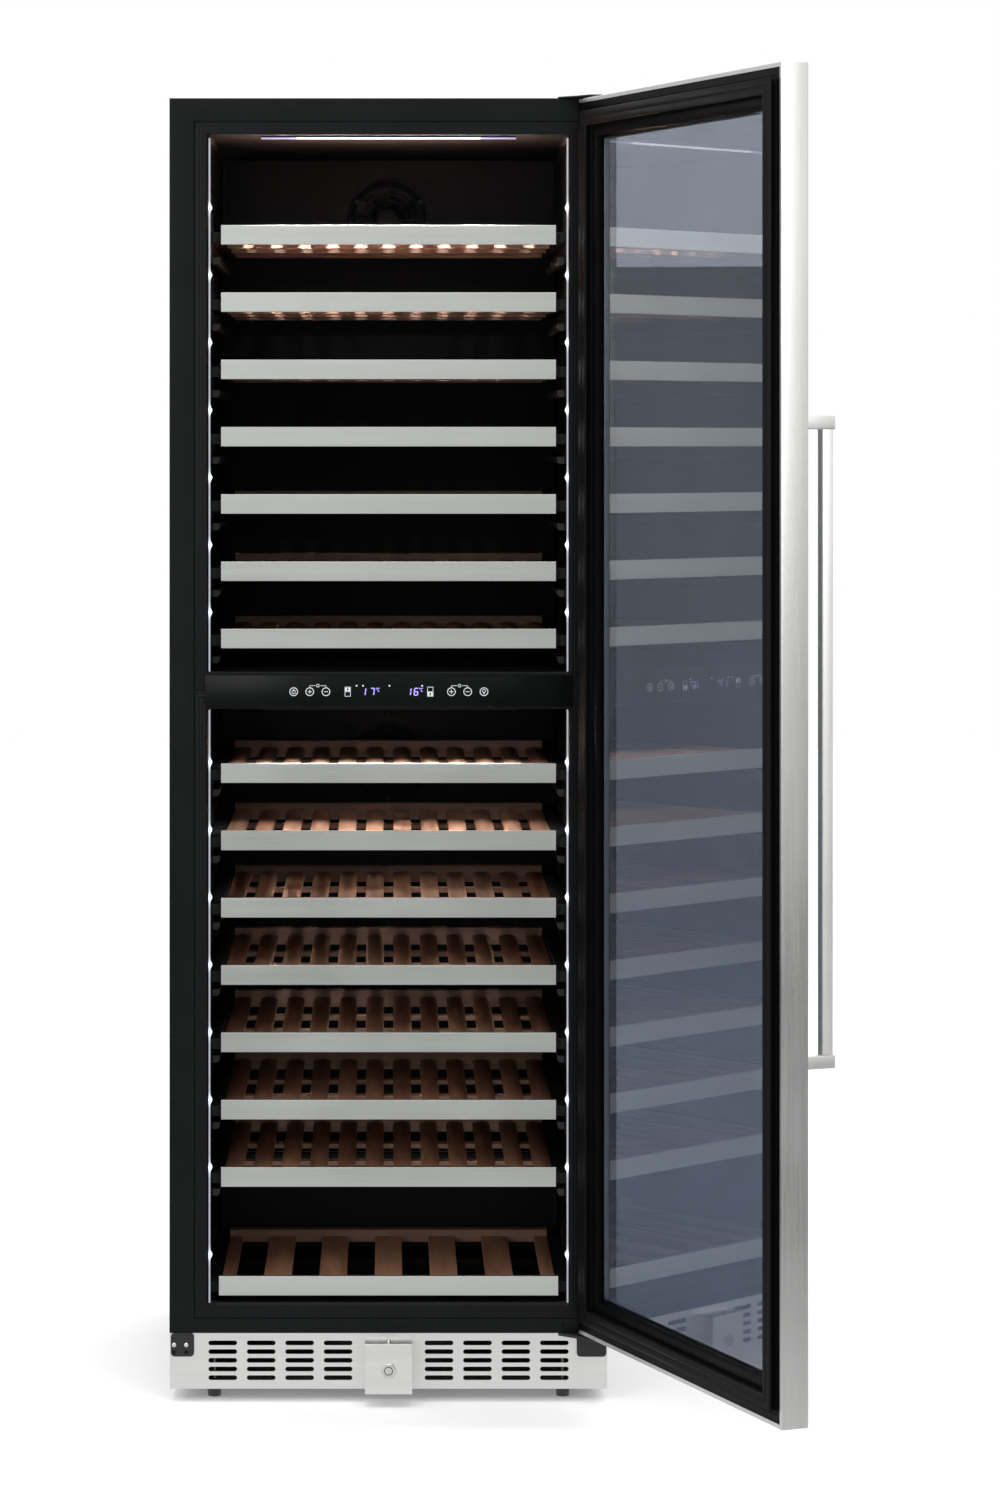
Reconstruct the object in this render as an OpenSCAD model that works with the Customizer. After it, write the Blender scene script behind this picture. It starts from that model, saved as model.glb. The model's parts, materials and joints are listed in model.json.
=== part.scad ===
// Tall dual-zone wine cooler with a glazed door, fifteen sliding shelves and a lockable base.
// Origin: on the floor, under the middle of the cabinet's front face. +Y runs to the back.

/* [Cabinet] */
// Outside width of the cabinet and of its door
cab_w = 595; // [520:1:720]
// Height from the floor to the top of the cabinet
cab_h = 1770; // [1475:1:2130]
// Depth of the cabinet without its door
cab_d = 630; // [525:1:760]
// Height of the kick plate's top edge above the floor
base_top = 94; // [88:1:112]
// Gap between the kick plate and the floor
floor_gap = 18; // [14:1:20]
// Thickness of the outer steel sheets
sheet_t = 1.5; // [1:0.1:2]
// Thickness of the foam behind the inner back wall
back_foam = 66; // [40:1:80]

/* [Front opening] */
// Width of the steel band that the door seals on
band_w = 34; // [30:1:40]
// Width of the liner's flange beside the band
flange_w = 17; // [12:1:22]
// Height of the frame above the opening
head_h = 49; // [44:1:60]
// Height of the sill below the opening
sill_h = 37; // [30:1:50]
// Thickness of the inner liners and of their flanges
liner_t = 2; // [1.5:0.1:3]
// Joint line between the steel band and the liner's flange
seam = 0.6; // [0.3:0.1:1]

/* [Control panel] */
// Height of the control panel's lower edge above the floor
panel_z = 944; // [850:1:1000]
// Height of the control panel
panel_h = 43; // [36:1:50]
// Width of the control panel past each side of the opening
panel_lap = 2.5; // [1:0.5:4]
// How far the control panel stands out of the front face
panel_proud = 4; // [2:0.5:5]
// Depth of the housing behind the control panel
panel_depth = 38; // [25:1:60]

/* [Shelves] */
// Height of a shelf's front trim
trim_h = 26.5; // [24:0.5:28]
// Distance of the trims behind the cabinet's front face
trim_set = 20; // [16:1:30]
// Gap between a shelf's trim and each side wall
trim_gap = 18.2; // [17:0.1:24]
// Sheet thickness of the trims
trim_t = 1.5; // [1:0.1:2]
// Space above the top shelf's trim
top_clear = 122.2; // [100:1:140]
// Space between the control panel and the shelf above it
above_panel = 61.6; // [50:1:70]
// Space between the control panel and the trim of the shelf below it
below_panel = 78.7; // [70:1:90]
// Height of the lowest standard shelf's trim above the sill
low_shelf = 184; // [180:1:200]
// Height of the bottom shelf's trim above the sill
bottom_shelf = 35.7; // [32:0.1:40]
// Space behind the shelves
rear_clear = 17; // [8:1:30]
// How far a shelf slides out
shelf_travel = 330; // [250:1:340]
// Width of a slat on a standard shelf
slat_w = 25; // [20:1:28]
// Number of slats on a standard shelf
slat_count = 12; // [8:1:12]
// Width of a slat on the bottom shelf
wide_slat_w = 38; // [30:1:44]
// Thickness of the slats at their crown
slat_t = 9; // [8:0.5:10]
// Rise of a slat's rounded top
slat_rise = 3; // [1:0.5:4]

/* [Door] */
// Angle that the door stands open at
door_open = 112; // [90:1:118]
// Thickness of the door without its seal
door_t = 37; // [34:1:45]
// Gap between the closed door and the cabinet, filled by the seal
door_gap = 8; // [6:0.5:10]
// Gap above and below the door
door_reveal = 3; // [2:0.5:4]
// Width of the door's frame round the glass
rail_w = 54; // [48:1:66]
// Thickness of a glass pane
glass_t = 4; // [3:0.5:5]
// Space between the two glass panes
glass_gap = 7; // [6:1:8]
// Depth of the inner pane behind the door's inner face
pane_set = 11; // [8:1:12]
// Distance of the hinge axis from the cabinet's side
pivot_side = 17.5; // [16:0.5:20]
// Distance of the hinge axis in front of the cabinet
pivot_front = 26; // [25.9:0.1:28]
// Radius of the hinge pins
pin_r = 4; // [3:0.5:5]

/* [Handle] */
// Distance between the centres of the handle's posts
handle_span = 790; // [500:1:1000]
// Distance of the handle from the door's free edge
handle_inset = 35; // [30:1:40]
// Width of the handle, along the door
handle_w = 13; // [10:1:16]
// Thickness of the handle's bar, away from the door
handle_t = 15; // [12:1:18]
// Finger space between the door and the handle
handle_gap = 37.5; // [32:0.5:45]
// Height of each post
post_h = 17; // [12:1:24]

/* [Lock] */
// Width of the lock's bracket
lock_w = 64; // [50:1:70]
// How far the lock's bracket stands in front of the kick plate
lock_out = 34; // [33:1:36]
// Travel of the lock's bolt
bolt_lift = 12; // [8:1:14]

/* [Fans] */
// Radius of the fan openings in the inner back walls
fan_r = 57; // [45:1:60]
// Clearance between the fans' blades and the edge of their openings
tip_clear = 6; // [4:0.5:12]
// Number of blades on each fan
blade_count = 7; // [5:1:9]

/* [Hidden] */
$fn = 48;
tiny = 0.3;
run_fit = 0.05;
top_shelf_count = 7;
shelf_count = 15;

half_w = cab_w / 2;
in_w = half_w - sheet_t;
open_x = half_w - band_w - flange_w;
open_top = cab_h - head_h;
open_sill = base_top + sill_h;
panel_top = panel_z + panel_h;
wall_y = cab_d - sheet_t;
back_y = wall_y - back_foam - liner_t;

upper_floor = panel_top + 3;
lower_roof = panel_z - 3;

// machine space at the bottom of the back, under a step in the lower liner
machine_depth = 210;
machine_top = base_top + 154;
foam_t = 25;
machine_y = cab_d - machine_depth;
step_y = machine_y - foam_t - liner_t;
step_z = machine_top + foam_t + liner_t;
duct_y = back_y - 62;
duct_t = 2;

// shelves are numbered from the top
trim_x = open_x - trim_gap;
bottom_trim_x = trim_x + 3;
bottom_no = shelf_count - 1;
upper_first = open_top - top_clear;
upper_last = panel_top + above_panel;
upper_pitch = (upper_first - upper_last) / (top_shelf_count - 1);
lower_first = panel_z - below_panel;
lower_last = open_sill + low_shelf;
lower_pitch = (lower_first - lower_last) / (top_shelf_count - 1);
function shelf_top(n) =
    n < top_shelf_count ? upper_first - n * upper_pitch
    : n < bottom_no ? lower_first - (n - top_shelf_count) * lower_pitch
    : open_sill + bottom_shelf;
function shelf_half(n) = n == bottom_no ? bottom_trim_x : trim_x;
function shelf_end(n) = (n == bottom_no ? step_y : duct_y) - rear_clear;

side_gap = 2.6;
slide_h = 8;
slide_out = 4.2;
slide_up = 10;
trim_lip = 8;
bar_w = 22;
slat_drop = 9;

// the door, drawn closed and then turned about its hinge axis
pivot_x = half_w - pivot_side;
door_low = base_top + door_reveal;
door_high = cab_h - door_reveal;
door_mid = (door_low + door_high) / 2;
door_face = -door_gap - door_t;
skin_t = 1.2;
glass_edge = rail_w - 9;
outer_pane = pane_set + glass_t + glass_gap;
pin_reach = 14;
hinge_t = 4;
top_plate_t = 2;

lock_z = 50;
lock_top = base_top - 8;
bolt_y = -27;
bolt_r = 3;
lock_r = 8;

fan_drop = 88;
upper_fan_z = open_top - fan_drop;
lower_fan_z = lower_roof - 113;
fan_y = duct_y + 7;
hub_r = 19;
shaft_r = 2.4;
blade_r = fan_r - tip_clear;

foot_x = half_w - 59.5;
foot_y = 40;

slot_cols = 4;
slot_rows = 5;
slot_pitch_x = 52.2;
slot_pitch_z = 11.8;
slot_first = 68.5;
slot_l = 39;
slot_h = 6.4;
slot_mid_z = base_top - 37.4;

gland_r = 11;
gland_bore = 4;
gland_x = 200;
gland_z = 64;

steel = [0.74, 0.74, 0.72];
dark_steel = [0.13, 0.14, 0.15];
black_plastic = [0.10, 0.11, 0.12];
beech = [0.66, 0.42, 0.30];

function two(n) = str(n < 10 ? "0" : "", n);
function rack_node(n) = str("shelf_", two(n + 1), "_rack");
function trim_node(n) = str("shelf_", two(n + 1), "_trim");

// a box from its lowest to its highest corner
module box(low, high) {
    translate(low) cube(high - low);
}

// the same shape on both sides of the middle
module both_sides() {
    children();
    mirror([1, 0, 0]) children();
}

// a cylinder along Y, from y0 to y1
module rod_y(x, z, r, y0, y1) {
    translate([x, y0, z]) rotate([-90, 0, 0]) cylinder(r = r, h = y1 - y0);
}

// ---- cabinet ----

module cabinet_shell() {
    color(dark_steel) difference() {
        box([-half_w, liner_t, base_top], [half_w, wall_y, cab_h]);
        box([-in_w, 0, base_top - 1], [in_w, cab_d, cab_h - sheet_t]);
    }
}

module front_frame() {
    hole_x = half_w - band_w + seam;
    hole_top = cab_h - head_h + flange_w + seam;
    color(dark_steel) difference() {
        box([-half_w, 0, base_top], [half_w, liner_t, cab_h]);
        box([-hole_x, -1, open_sill - flange_w - seam], [hole_x, liner_t + 1, hole_top]);
    }
}

// a foam block, a hair short on every side so that it stays separate from the next one
module foam(low, high) {
    gap = 0.2;
    box(low + [gap, gap, gap], high - [gap, gap, gap]);
}

// foam blocks between the shell and the liners
module insulation() {
    out_x = open_x + liner_t;
    out_top = open_top + liner_t;
    out_back = back_y + liner_t;
    out_sill = open_sill - liner_t;
    out_step = step_z - liner_t;
    color([0.85, 0.80, 0.55]) {
        both_sides() foam([out_x, liner_t, base_top], [in_w, wall_y, cab_h - sheet_t]);
        foam([-out_x, liner_t, out_top], [out_x, wall_y, cab_h - sheet_t]);
        foam([-out_x, out_back, machine_top], [out_x, wall_y, out_top]);
        foam([-out_x, panel_depth, lower_roof + liner_t], [out_x, out_back, upper_floor - liner_t]);
        foam([-out_x, liner_t, base_top], [out_x, step_y + liner_t, out_sill]);
        foam([-out_x, step_y + liner_t, base_top], [out_x, machine_y, out_step]);
        foam([-out_x, machine_y, machine_top], [out_x, out_back, out_step]);
    }
}

// upper and lower inner liners, each with its half of the front flange
module liners() {
    out_x = open_x + liner_t;
    mid = (panel_z + panel_top) / 2;
    flange_x = open_x + flange_w;
    flange_top = open_top + flange_w;
    flange_low = open_sill - flange_w;
    color(black_plastic) {
        difference() {
            union() {
                box([-out_x, 0, upper_floor - liner_t], [out_x, back_y + liner_t, open_top + liner_t]);
                box([-flange_x, 0, mid + tiny], [flange_x, liner_t, flange_top]);
            }
            box([-open_x, -1, upper_floor], [open_x, back_y, open_top]);
            box([-open_x, -1, mid - 1], [open_x, liner_t + 1, open_top]);
        }
        difference() {
            union() {
                box([-out_x, 0, open_sill - liner_t], [out_x, step_y + liner_t, lower_roof + liner_t]);
                box([-out_x, 0, step_z - liner_t], [out_x, back_y + liner_t, lower_roof + liner_t]);
                box([-flange_x, 0, flange_low], [flange_x, liner_t, mid - tiny]);
            }
            box([-open_x, -1, open_sill], [open_x, step_y, lower_roof]);
            box([-open_x, -1, step_z], [open_x, back_y, lower_roof]);
            box([-open_x, -1, open_sill], [open_x, liner_t + 1, mid + 1]);
        }
    }
}

// floor tray that carries the feet and the cooling machinery
module base_tray() {
    tray_front = 22;
    tray_low = floor_gap + 4;
    wall = 2;
    side_rail = 35;
    stem_hole_r = 3.4;
    color(dark_steel) difference() {
        box([-in_w, tray_front, tray_low], [in_w, wall_y, base_top]);
        box([-in_w + wall, tray_front + wall, tray_low + wall], [in_w - wall, wall_y + 1, base_top + 1]);
        box([-in_w + side_rail, tray_front - 1, tray_low + wall],
            [in_w - side_rail, tray_front + wall + 1, base_top + 1]);
        feet_at() translate([0, 0, tray_low - 1]) cylinder(r = stem_hole_r, h = wall + 2);
    }
}

module rear_cover() {
    vent_w = 90;
    vent_h = 5;
    vent_count = 9;
    vent_step = 14;
    vent_x = 20;
    vent_z = base_top + 16;
    cover_gap = 4;
    color(dark_steel) difference() {
        box([-in_w, wall_y, floor_gap + 2 * cover_gap], [in_w, cab_d, cab_h - cover_gap]);
        for (i = [0:vent_count - 1])
            both_sides()
                translate([vent_x, wall_y - 1, vent_z + i * vent_step]) cube([vent_w, sheet_t + 2, vent_h]);
        rod_y(-gland_x, gland_z, gland_r + run_fit, wall_y - 1, cab_d + 1);
    }
}

module feet_at() {
    for (x = [-foot_x, foot_x])
        for (y = [foot_y, cab_d - foot_y])
            translate([x, y, 0]) children();
}

// four feet on threaded stems
module levelling_feet() {
    foot_r = 10;
    lip = 1;
    stem_r = 3;
    stem_top = floor_gap + 39;
    color([0.12, 0.12, 0.12]) feet_at() rotate_extrude()
        polygon([
            [0, 0], [foot_r - 2 * lip, 0], [foot_r - lip, lip], [foot_r, floor_gap - 2],
            [foot_r, floor_gap], [stem_r, floor_gap], [stem_r, stem_top], [0, stem_top]
        ]);
}

module slot(length, height) {
    square([length - height, height], center = true);
    for (s = [-1, 1]) translate([s * (length - height) / 2, 0]) circle(d = height);
}

module kick_plate() {
    side_return = 18;
    plate_t = 1.5;
    plate_x = half_w - 0.5;
    color([0.84, 0.84, 0.83]) {
        difference() {
            union() {
                box([-plate_x, 0, floor_gap], [plate_x, plate_t, base_top - 0.5]);
                box([-plate_x, 0, floor_gap], [plate_x, side_return, floor_gap + plate_t]);
                both_sides() box([plate_x - plate_t, 0, floor_gap], [plate_x, side_return, base_top - 0.5]);
            }
            both_sides()
                for (i = [0:slot_cols - 1])
                    for (j = [0:slot_rows - 1])
                        translate([
                            slot_first + i * slot_pitch_x, plate_t + 1,
                            slot_mid_z + (j - (slot_rows - 1) / 2) * slot_pitch_z
                        ])
                            rotate([90, 0, 0]) linear_extrude(plate_t + 2) slot(slot_l, slot_h);
        }
    }
}

// ---- control panel and lights ----

module control_panel() {
    wall = 2.5;
    body_x = open_x - 0.5;
    face_x = open_x + panel_lap;
    low = panel_z + 0.5;
    high = panel_top - 0.5;
    color([0.05, 0.05, 0.06]) difference() {
        union() {
            box([-face_x, -panel_proud, panel_z], [face_x, -tiny, panel_top]);
            box([-body_x, -1, low], [body_x, panel_depth, high]);
        }
        box([-body_x + wall, 1, low + wall], [body_x - wall, panel_depth - wall, high - wall]);
    }
}

module control_board() {
    board_x = open_x * 0.8;
    board_y = 8;
    board_t = 1.6;
    edge = 6;
    color([0.10, 0.35, 0.20])
        box([-board_x, board_y, panel_z + edge], [board_x, board_y + board_t, panel_top - edge]);
}

// four upright light guides behind the front edge and a light bar under each ceiling
module light_strips() {
    guide_w = 5;
    guide_y = 3;
    guide_d = 10;
    guide_x = open_x - 1;
    end_gap = 1;
    top_gap = 5;
    sill_gap = 3;
    bar_x = 174;
    bar_y = 30;
    bar_d = 12;
    bar_t = 3.5;
    color([0.95, 0.95, 1]) {
        both_sides() {
            box([guide_x - guide_w, guide_y, upper_floor + end_gap],
                [guide_x, guide_y + guide_d, open_top - top_gap]);
            box([guide_x - guide_w, guide_y, open_sill + sill_gap],
                [guide_x, guide_y + guide_d, lower_roof - end_gap]);
        }
        for (z = [open_top, lower_roof])
            box([-bar_x, bar_y, z - bar_t - tiny], [bar_x, bar_y + bar_d, z - tiny]);
    }
}

// ---- air ducts, fans and cooling ----

module fan_grille(z) {
    bar = 2;
    spokes = 8;
    for (r = [hub_r + 9:9.5:fan_r - 4])
        difference() {
            rod_y(0, z, r + bar / 2, duct_y, duct_y + duct_t);
            rod_y(0, z, r - bar / 2, duct_y - 1, duct_y + duct_t + 1);
        }
    rod_y(0, z, hub_r, duct_y, duct_y + duct_t);
    for (i = [0:spokes / 2 - 1])
        translate([0, duct_y + duct_t / 2, z]) rotate([0, i * 360 / spokes, 0])
            cube([2 * fan_r + 1, duct_t, bar], center = true);
}

module duct_cover(low, high, z) {
    edge = open_x - 1;
    difference() {
        box([-edge, duct_y, low], [edge, duct_y + duct_t, high]);
        rod_y(0, z, fan_r, duct_y - 1, duct_y + duct_t + 1);
    }
    fan_grille(z);
}

module duct_covers() {
    color([0.09, 0.10, 0.11]) {
        duct_cover(upper_floor + 1, open_top - 1, upper_fan_z);
        duct_cover(step_z + 1, lower_roof - 1, lower_fan_z);
    }
}

module fan_rotor(z) {
    hub_d = 14;
    blade_in = 5;
    blade_w = 16;
    blade_t = 1.6;
    blade_turn = 35;
    bore_y = 3;
    difference() {
        union() {
            rod_y(0, z, hub_r - 2, fan_y, fan_y + hub_d);
            intersection() {
                translate([0, fan_y + hub_d / 2, z])
                    for (i = [0:blade_count - 1])
                        rotate([0, i * 360 / blade_count, 0])
                            translate([blade_r / 2 + blade_in, 0, 0]) rotate([blade_turn, 0, 0])
                                cube([blade_r - 2 * blade_in, blade_w, blade_t], center = true);
                rod_y(0, z, blade_r, fan_y, fan_y + hub_d);
            }
        }
        rod_y(0, z, shaft_r + run_fit, fan_y + bore_y, fan_y + hub_d + 1);
    }
}

module fan_upper() {
    color([0.06, 0.06, 0.07]) fan_rotor(upper_fan_z);
}

module fan_lower() {
    color([0.06, 0.06, 0.07]) fan_rotor(lower_fan_z);
}

// motor, shaft, struts and shroud of each fan
module fan_motors() {
    motor_y = fan_y + 16;
    motor_d = 22;
    shroud_r = fan_r + 2;
    color([0.2, 0.2, 0.22])
        for (z = [upper_fan_z, lower_fan_z]) {
            rod_y(0, z, hub_r - 1, motor_y, motor_y + motor_d);
            rod_y(0, z, shaft_r, fan_y + 4, motor_y + 1);
            difference() {
                rod_y(0, z, shroud_r + 2, duct_y + duct_t + tiny, motor_y + 4);
                rod_y(0, z, shroud_r, duct_y, motor_y + 5);
            }
            for (a = [90, 210, 330])
                translate([0, motor_y + 2, z]) rotate([0, a, 0])
                    translate([hub_r - 4, -1.5, -3]) cube([shroud_r - hub_r + 5, 3, 6]);
        }
}

module finned_coil(low, size, fins) {
    fin_t = 1.2;
    step = (size[0] - fin_t) / (fins - 1);
    for (i = [0:fins - 1]) translate(low + [i * step, 0, 0]) cube([fin_t, size[1], size[2]]);
    for (z = [0.15, 0.5, 0.85])
        translate(low + [0, size[1] / 2, size[2] * z]) rotate([0, 90, 0])
            cylinder(r = 4, h = size[0]);
}

// one evaporator behind each duct cover, and the condenser
module coils() {
    coil_x = 150;
    coil_h = 220;
    coil_d = 30;
    gap = 16;
    upper_drop = 440;
    lower_drop = 350;
    condenser = [200, 90, 130];
    condenser_at = [10 - open_x, machine_y + 30, floor_gap + 30];
    color([0.75, 0.72, 0.68]) {
        for (z = [upper_fan_z - upper_drop, lower_fan_z - lower_drop])
            finned_coil([-coil_x, duct_y + gap, z], [2 * coil_x, coil_d, coil_h], 13);
        finned_coil(condenser_at, condenser, 11);
    }
}

module compressor() {
    body_r = 70;
    body_h = 105;
    at = [in_w - 148, cab_d - 105, floor_gap + 6];
    grommet_h = 10;
    grommet_r = 9;
    grommet_x = 60;
    plate_x = 72;
    plate_t = 3;
    dome_r = 89.02;
    dome_drop = 55;
    dome_h = 40;
    shell_z = grommet_h + plate_t;
    color([0.08, 0.08, 0.09]) translate(at) {
        for (x = [-grommet_x, grommet_x])
            for (y = [-grommet_x, grommet_x])
                translate([x, y, 0]) cylinder(r = grommet_r, h = grommet_h);
        translate([-plate_x, -plate_x, grommet_h]) cube([2 * plate_x, 2 * plate_x, plate_t]);
        translate([0, 0, shell_z]) cylinder(r = body_r, h = body_h);
        translate([0, 0, shell_z + body_h]) intersection() {
            translate([0, 0, -dome_drop]) sphere(r = dome_r);
            cylinder(r = body_r, h = dome_h);
        }
    }
}

// ---- shelves ----

module slat_profile(w, rise) {
    dome = (w * w / 4 + rise * rise) / (2 * rise);
    intersection() {
        translate([-w / 2, -slat_t]) square([w, slat_t]);
        translate([0, -dome]) circle(r = dome, $fn = 180);
    }
}

module rack(n) {
    top = shelf_top(n);
    low = top - trim_h;
    half = shelf_half(n) - side_gap;
    front = trim_set + trim_t + tiny;
    back = shelf_end(n);
    slat_low = top - slat_drop - slat_t;
    wide = n == bottom_no;
    bars = wide ? [front + trim_lip]
        : [for (i = [0:3]) front + trim_lip + i * (back - front - trim_lip - bar_w) / 3];
    color(beech) {
        for (y = bars) box([-half, y, low + trim_t + tiny], [half, y + bar_w, slat_low + 0.01]);
        box([-half, back - bar_w, slat_low], [half, back, top]);
        if (wide) wide_slats(half, front, back - bar_w, slat_low);
        else slats(half, front, back - bar_w, slat_low);
    }
}

module slats(half, front, back, slat_low) {
    pitch = (2 * half - slat_w) / (slat_count - 1);
    for (i = [0:slat_count - 1])
        translate([-half + slat_w / 2 + i * pitch, back, slat_low + slat_t])
            rotate([90, 0, 0]) linear_extrude(back - front) slat_profile(slat_w, slat_rise);
}

// flat wide slats for the bottom shelf, with half a slat at each side
module wide_slats(half, front, back, slat_low) {
    steps = 6;
    for (i = [0:steps]) {
        middle = -half + i * 2 * half / steps;
        left = max(-half, middle - wide_slat_w / 2);
        right = min(half, middle + wide_slat_w / 2);
        box([left, front, slat_low], [right, back, slat_low + slat_t]);
    }
}

// folded steel front with the two slide bars that run in the side runners
module trim(n) {
    top = shelf_top(n);
    low = top - trim_h;
    half = shelf_half(n);
    slide_low = low + slide_up - slide_h / 2;
    bar_in = half - side_gap + tiny;
    color(steel) {
        box([-half, trim_set, low], [half, trim_set + trim_t, top]);
        for (z = [low, top - trim_t])
            box([-half, trim_set, z], [half, trim_set + trim_lip, z + trim_t]);
        both_sides() {
            box([bar_in, trim_set, slide_low], [half, trim_set + trim_lip, slide_low + slide_h]);
            box([bar_in, trim_set + trim_lip - 1, slide_low],
                [half + slide_out, shelf_end(n), slide_low + slide_h]);
        }
    }
}

// grooved side runners on their wall ledges
module shelf_runners() {
    ledge_x = open_x - 14;
    wall_x = open_x - 4.5;
    skin_x = open_x - tiny;
    ledge_h = 10;
    ledge_drop = 24;
    ledge_y = 85;
    guard = 3;
    side_play = 1.2;
    front_play = 2;
    color([0.16, 0.17, 0.18])
        for (n = [0:bottom_no]) {
            top = shelf_top(n);
            low = top - trim_h;
            half = shelf_half(n);
            slide_z = low + slide_up;
            front = trim_set + trim_lip + front_play;
            back = shelf_end(n);
            ledge_z = max(low - ledge_drop, open_sill + tiny);
            ledge_back = ledge_z < step_z + tiny ? min(back, step_y - tiny) : back;
            both_sides() difference() {
                union() {
                    box([half + side_play, front, slide_z - slide_h / 2 - guard],
                        [skin_x, back, slide_z + slide_h / 2 + guard]);
                    box([wall_x, front, ledge_z], [skin_x, ledge_back, slide_z]);
                    box([ledge_x, ledge_y, ledge_z], [skin_x, ledge_back, ledge_z + ledge_h]);
                }
                box([half, front - 1, slide_z - slide_h / 2 - tiny],
                    [half + slide_out + tiny, back + 1, slide_z + slide_h / 2 + tiny]);
            }
        }
}

// ---- hinges, lock and fasteners ----

module hinge_outline(side_x) {
    polygon([
        [side_x, 0], [side_x, -pivot_front + 6], [pivot_x + 9, -pivot_front - 12],
        [pivot_x - 9, -pivot_front - 12], [pivot_x - 24, -pivot_front + 6], [pivot_x - 50, 0]
    ]);
}

// top and bottom hinge brackets with their pins, and the spare plate at the other side
module hinge_brackets() {
    side_x = half_w - 2;
    cover_w = 40;
    plate_low = base_top - 32;
    plate_w = 31.5;
    plate_t = 3.2;
    plate_back = 60;
    collar_r = 7;
    color([0.11, 0.11, 0.12]) {
        translate([0, 0, cab_h]) linear_extrude(top_plate_t) {
            hinge_outline(side_x);
            translate([pivot_x - 50, 0]) square([side_x - pivot_x + 50, plate_back]);
        }
        translate([pivot_x, -pivot_front, cab_h - pin_reach])
            cylinder(r = pin_r, h = pin_reach + top_plate_t + 1);
        translate([0, 0, base_top - hinge_t]) linear_extrude(hinge_t) hinge_outline(side_x);
        box([side_x - cover_w, -plate_t, plate_low], [side_x, 0, base_top]);
        translate([pivot_x, -pivot_front, base_top - hinge_t])
            cylinder(r = pin_r, h = hinge_t + door_reveal + pin_reach);
        translate([pivot_x, -pivot_front, base_top - 1])
            cylinder(r = collar_r, h = door_reveal + 1 - tiny);
        box([-side_x, -plate_t, plate_low], [-side_x + plate_w, 0, base_top]);
    }
}

module lock_bracket() {
    wall = 1.5;
    slot_x = lock_w / 2 - 3;
    slot_y = bolt_r + 0.2;
    color([0.86, 0.86, 0.85]) difference() {
        box([-lock_w / 2, -lock_out, floor_gap], [lock_w / 2, 0, lock_top]);
        box([-lock_w / 2 + wall, -lock_out + wall, floor_gap - 1], [lock_w / 2 - wall, 1, lock_top - wall]);
        box([-slot_x, bolt_y - slot_y, lock_top - wall - 1], [slot_x, bolt_y + slot_y, lock_top + 1]);
        rod_y(0, lock_z, lock_r + run_fit, -lock_out - 1, -lock_out + wall + 1);
    }
}

// barrel with its six-lobed bezel, key slot and cam
module lock_cylinder() {
    bezel_r = 10.5;
    bezel_t = 2.5;
    lobes = 6;
    front = -lock_out - bezel_t;
    barrel_back = -14;
    cam_w = 8;
    cam_t = 2;
    cam_reach = 11;
    key_w = 1.2;
    key_h = 6;
    key_depth = 5;
    color([0.80, 0.80, 0.79]) difference() {
        union() {
            rod_y(0, lock_z, lock_r, front, barrel_back);
            rod_y(0, lock_z, bezel_r - 1, front, -lock_out - tiny);
            for (i = [0:lobes - 1])
                rod_y((bezel_r - 3) * sin(i * 360 / lobes), lock_z + (bezel_r - 3) * cos(i * 360 / lobes),
                    3, front, -lock_out - tiny);
            box([-cam_w / 2, barrel_back, lock_z - cam_w / 2],
                [cam_w / 2, barrel_back + cam_t, lock_z + cam_reach]);
        }
        box([-key_w / 2, front - 1, lock_z - key_h / 2], [key_w / 2, front + key_depth, lock_z + key_h / 2]);
    }
}

module lock_bolt() {
    bolt_low = lock_z + lock_r + 2.5;
    bolt_high = base_top - 4;
    bar_x = 7;
    bar_y = 2;
    bar_h = 4;
    color([0.85, 0.85, 0.84]) {
        translate([0, bolt_y, bolt_low]) cylinder(r = bolt_r, h = bolt_high - bolt_low);
        box([-bar_x, bolt_y - bar_y, bolt_low], [bar_x, bolt_y + bar_y, bolt_low + bar_h]);
    }
}

// bush that the mains lead passes through at the back
module cord_gland() {
    inside = 12;
    flange_t = 4;
    flange_out = 3;
    color([0.08, 0.08, 0.08]) difference() {
        union() {
            rod_y(-gland_x, gland_z, gland_r, cab_d - inside, cab_d + flange_t / 2);
            rod_y(-gland_x, gland_z, gland_r + flange_out, cab_d, cab_d + flange_t);
        }
        rod_y(-gland_x, gland_z, gland_bore, cab_d - inside - 1, cab_d + flange_t + 1);
    }
}

// heads of the exposed fasteners
module screws() {
    duct_ring = fan_r + 18;
    head_t = 1.2;
    duct_r = 4;
    plate_t = 3.2;
    plate_r = 3;
    small_r = 3.5;
    top_r = 4.5;
    spare_z = base_top - 16;
    plug_z = base_top + 12;
    plug_in = 63;
    skirt_in = 18;
    skirt_y = 8;
    color([0.6, 0.6, 0.6]) {
        for (z = [upper_fan_z, lower_fan_z])
            for (a = [-45, 0, 45])
                rod_y(duct_ring * sin(a), z + duct_ring * cos(a), duct_r, duct_y - head_t, duct_y);
        for (x = [-half_w + 6.5, -half_w + 23]) rod_y(x, spare_z, plate_r, -plate_t - head_t, -plate_t);
        both_sides() {
            rod_y(half_w - plug_in, plug_z, small_r, -head_t, 0);
            translate([half_w - skirt_in, skirt_y, floor_gap - head_t]) cylinder(r = small_r, h = head_t);
        }
        for (x = [20, 45])
            for (y = [20, 45])
                translate([half_w - x, y, cab_h + top_plate_t]) cylinder(r = top_r, h = head_t);
    }
}

// ---- door ----

module turned_door() {
    translate([pivot_x, -pivot_front, 0]) rotate([0, 0, door_open])
        translate([-pivot_x, pivot_front, 0]) children();
}

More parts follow.
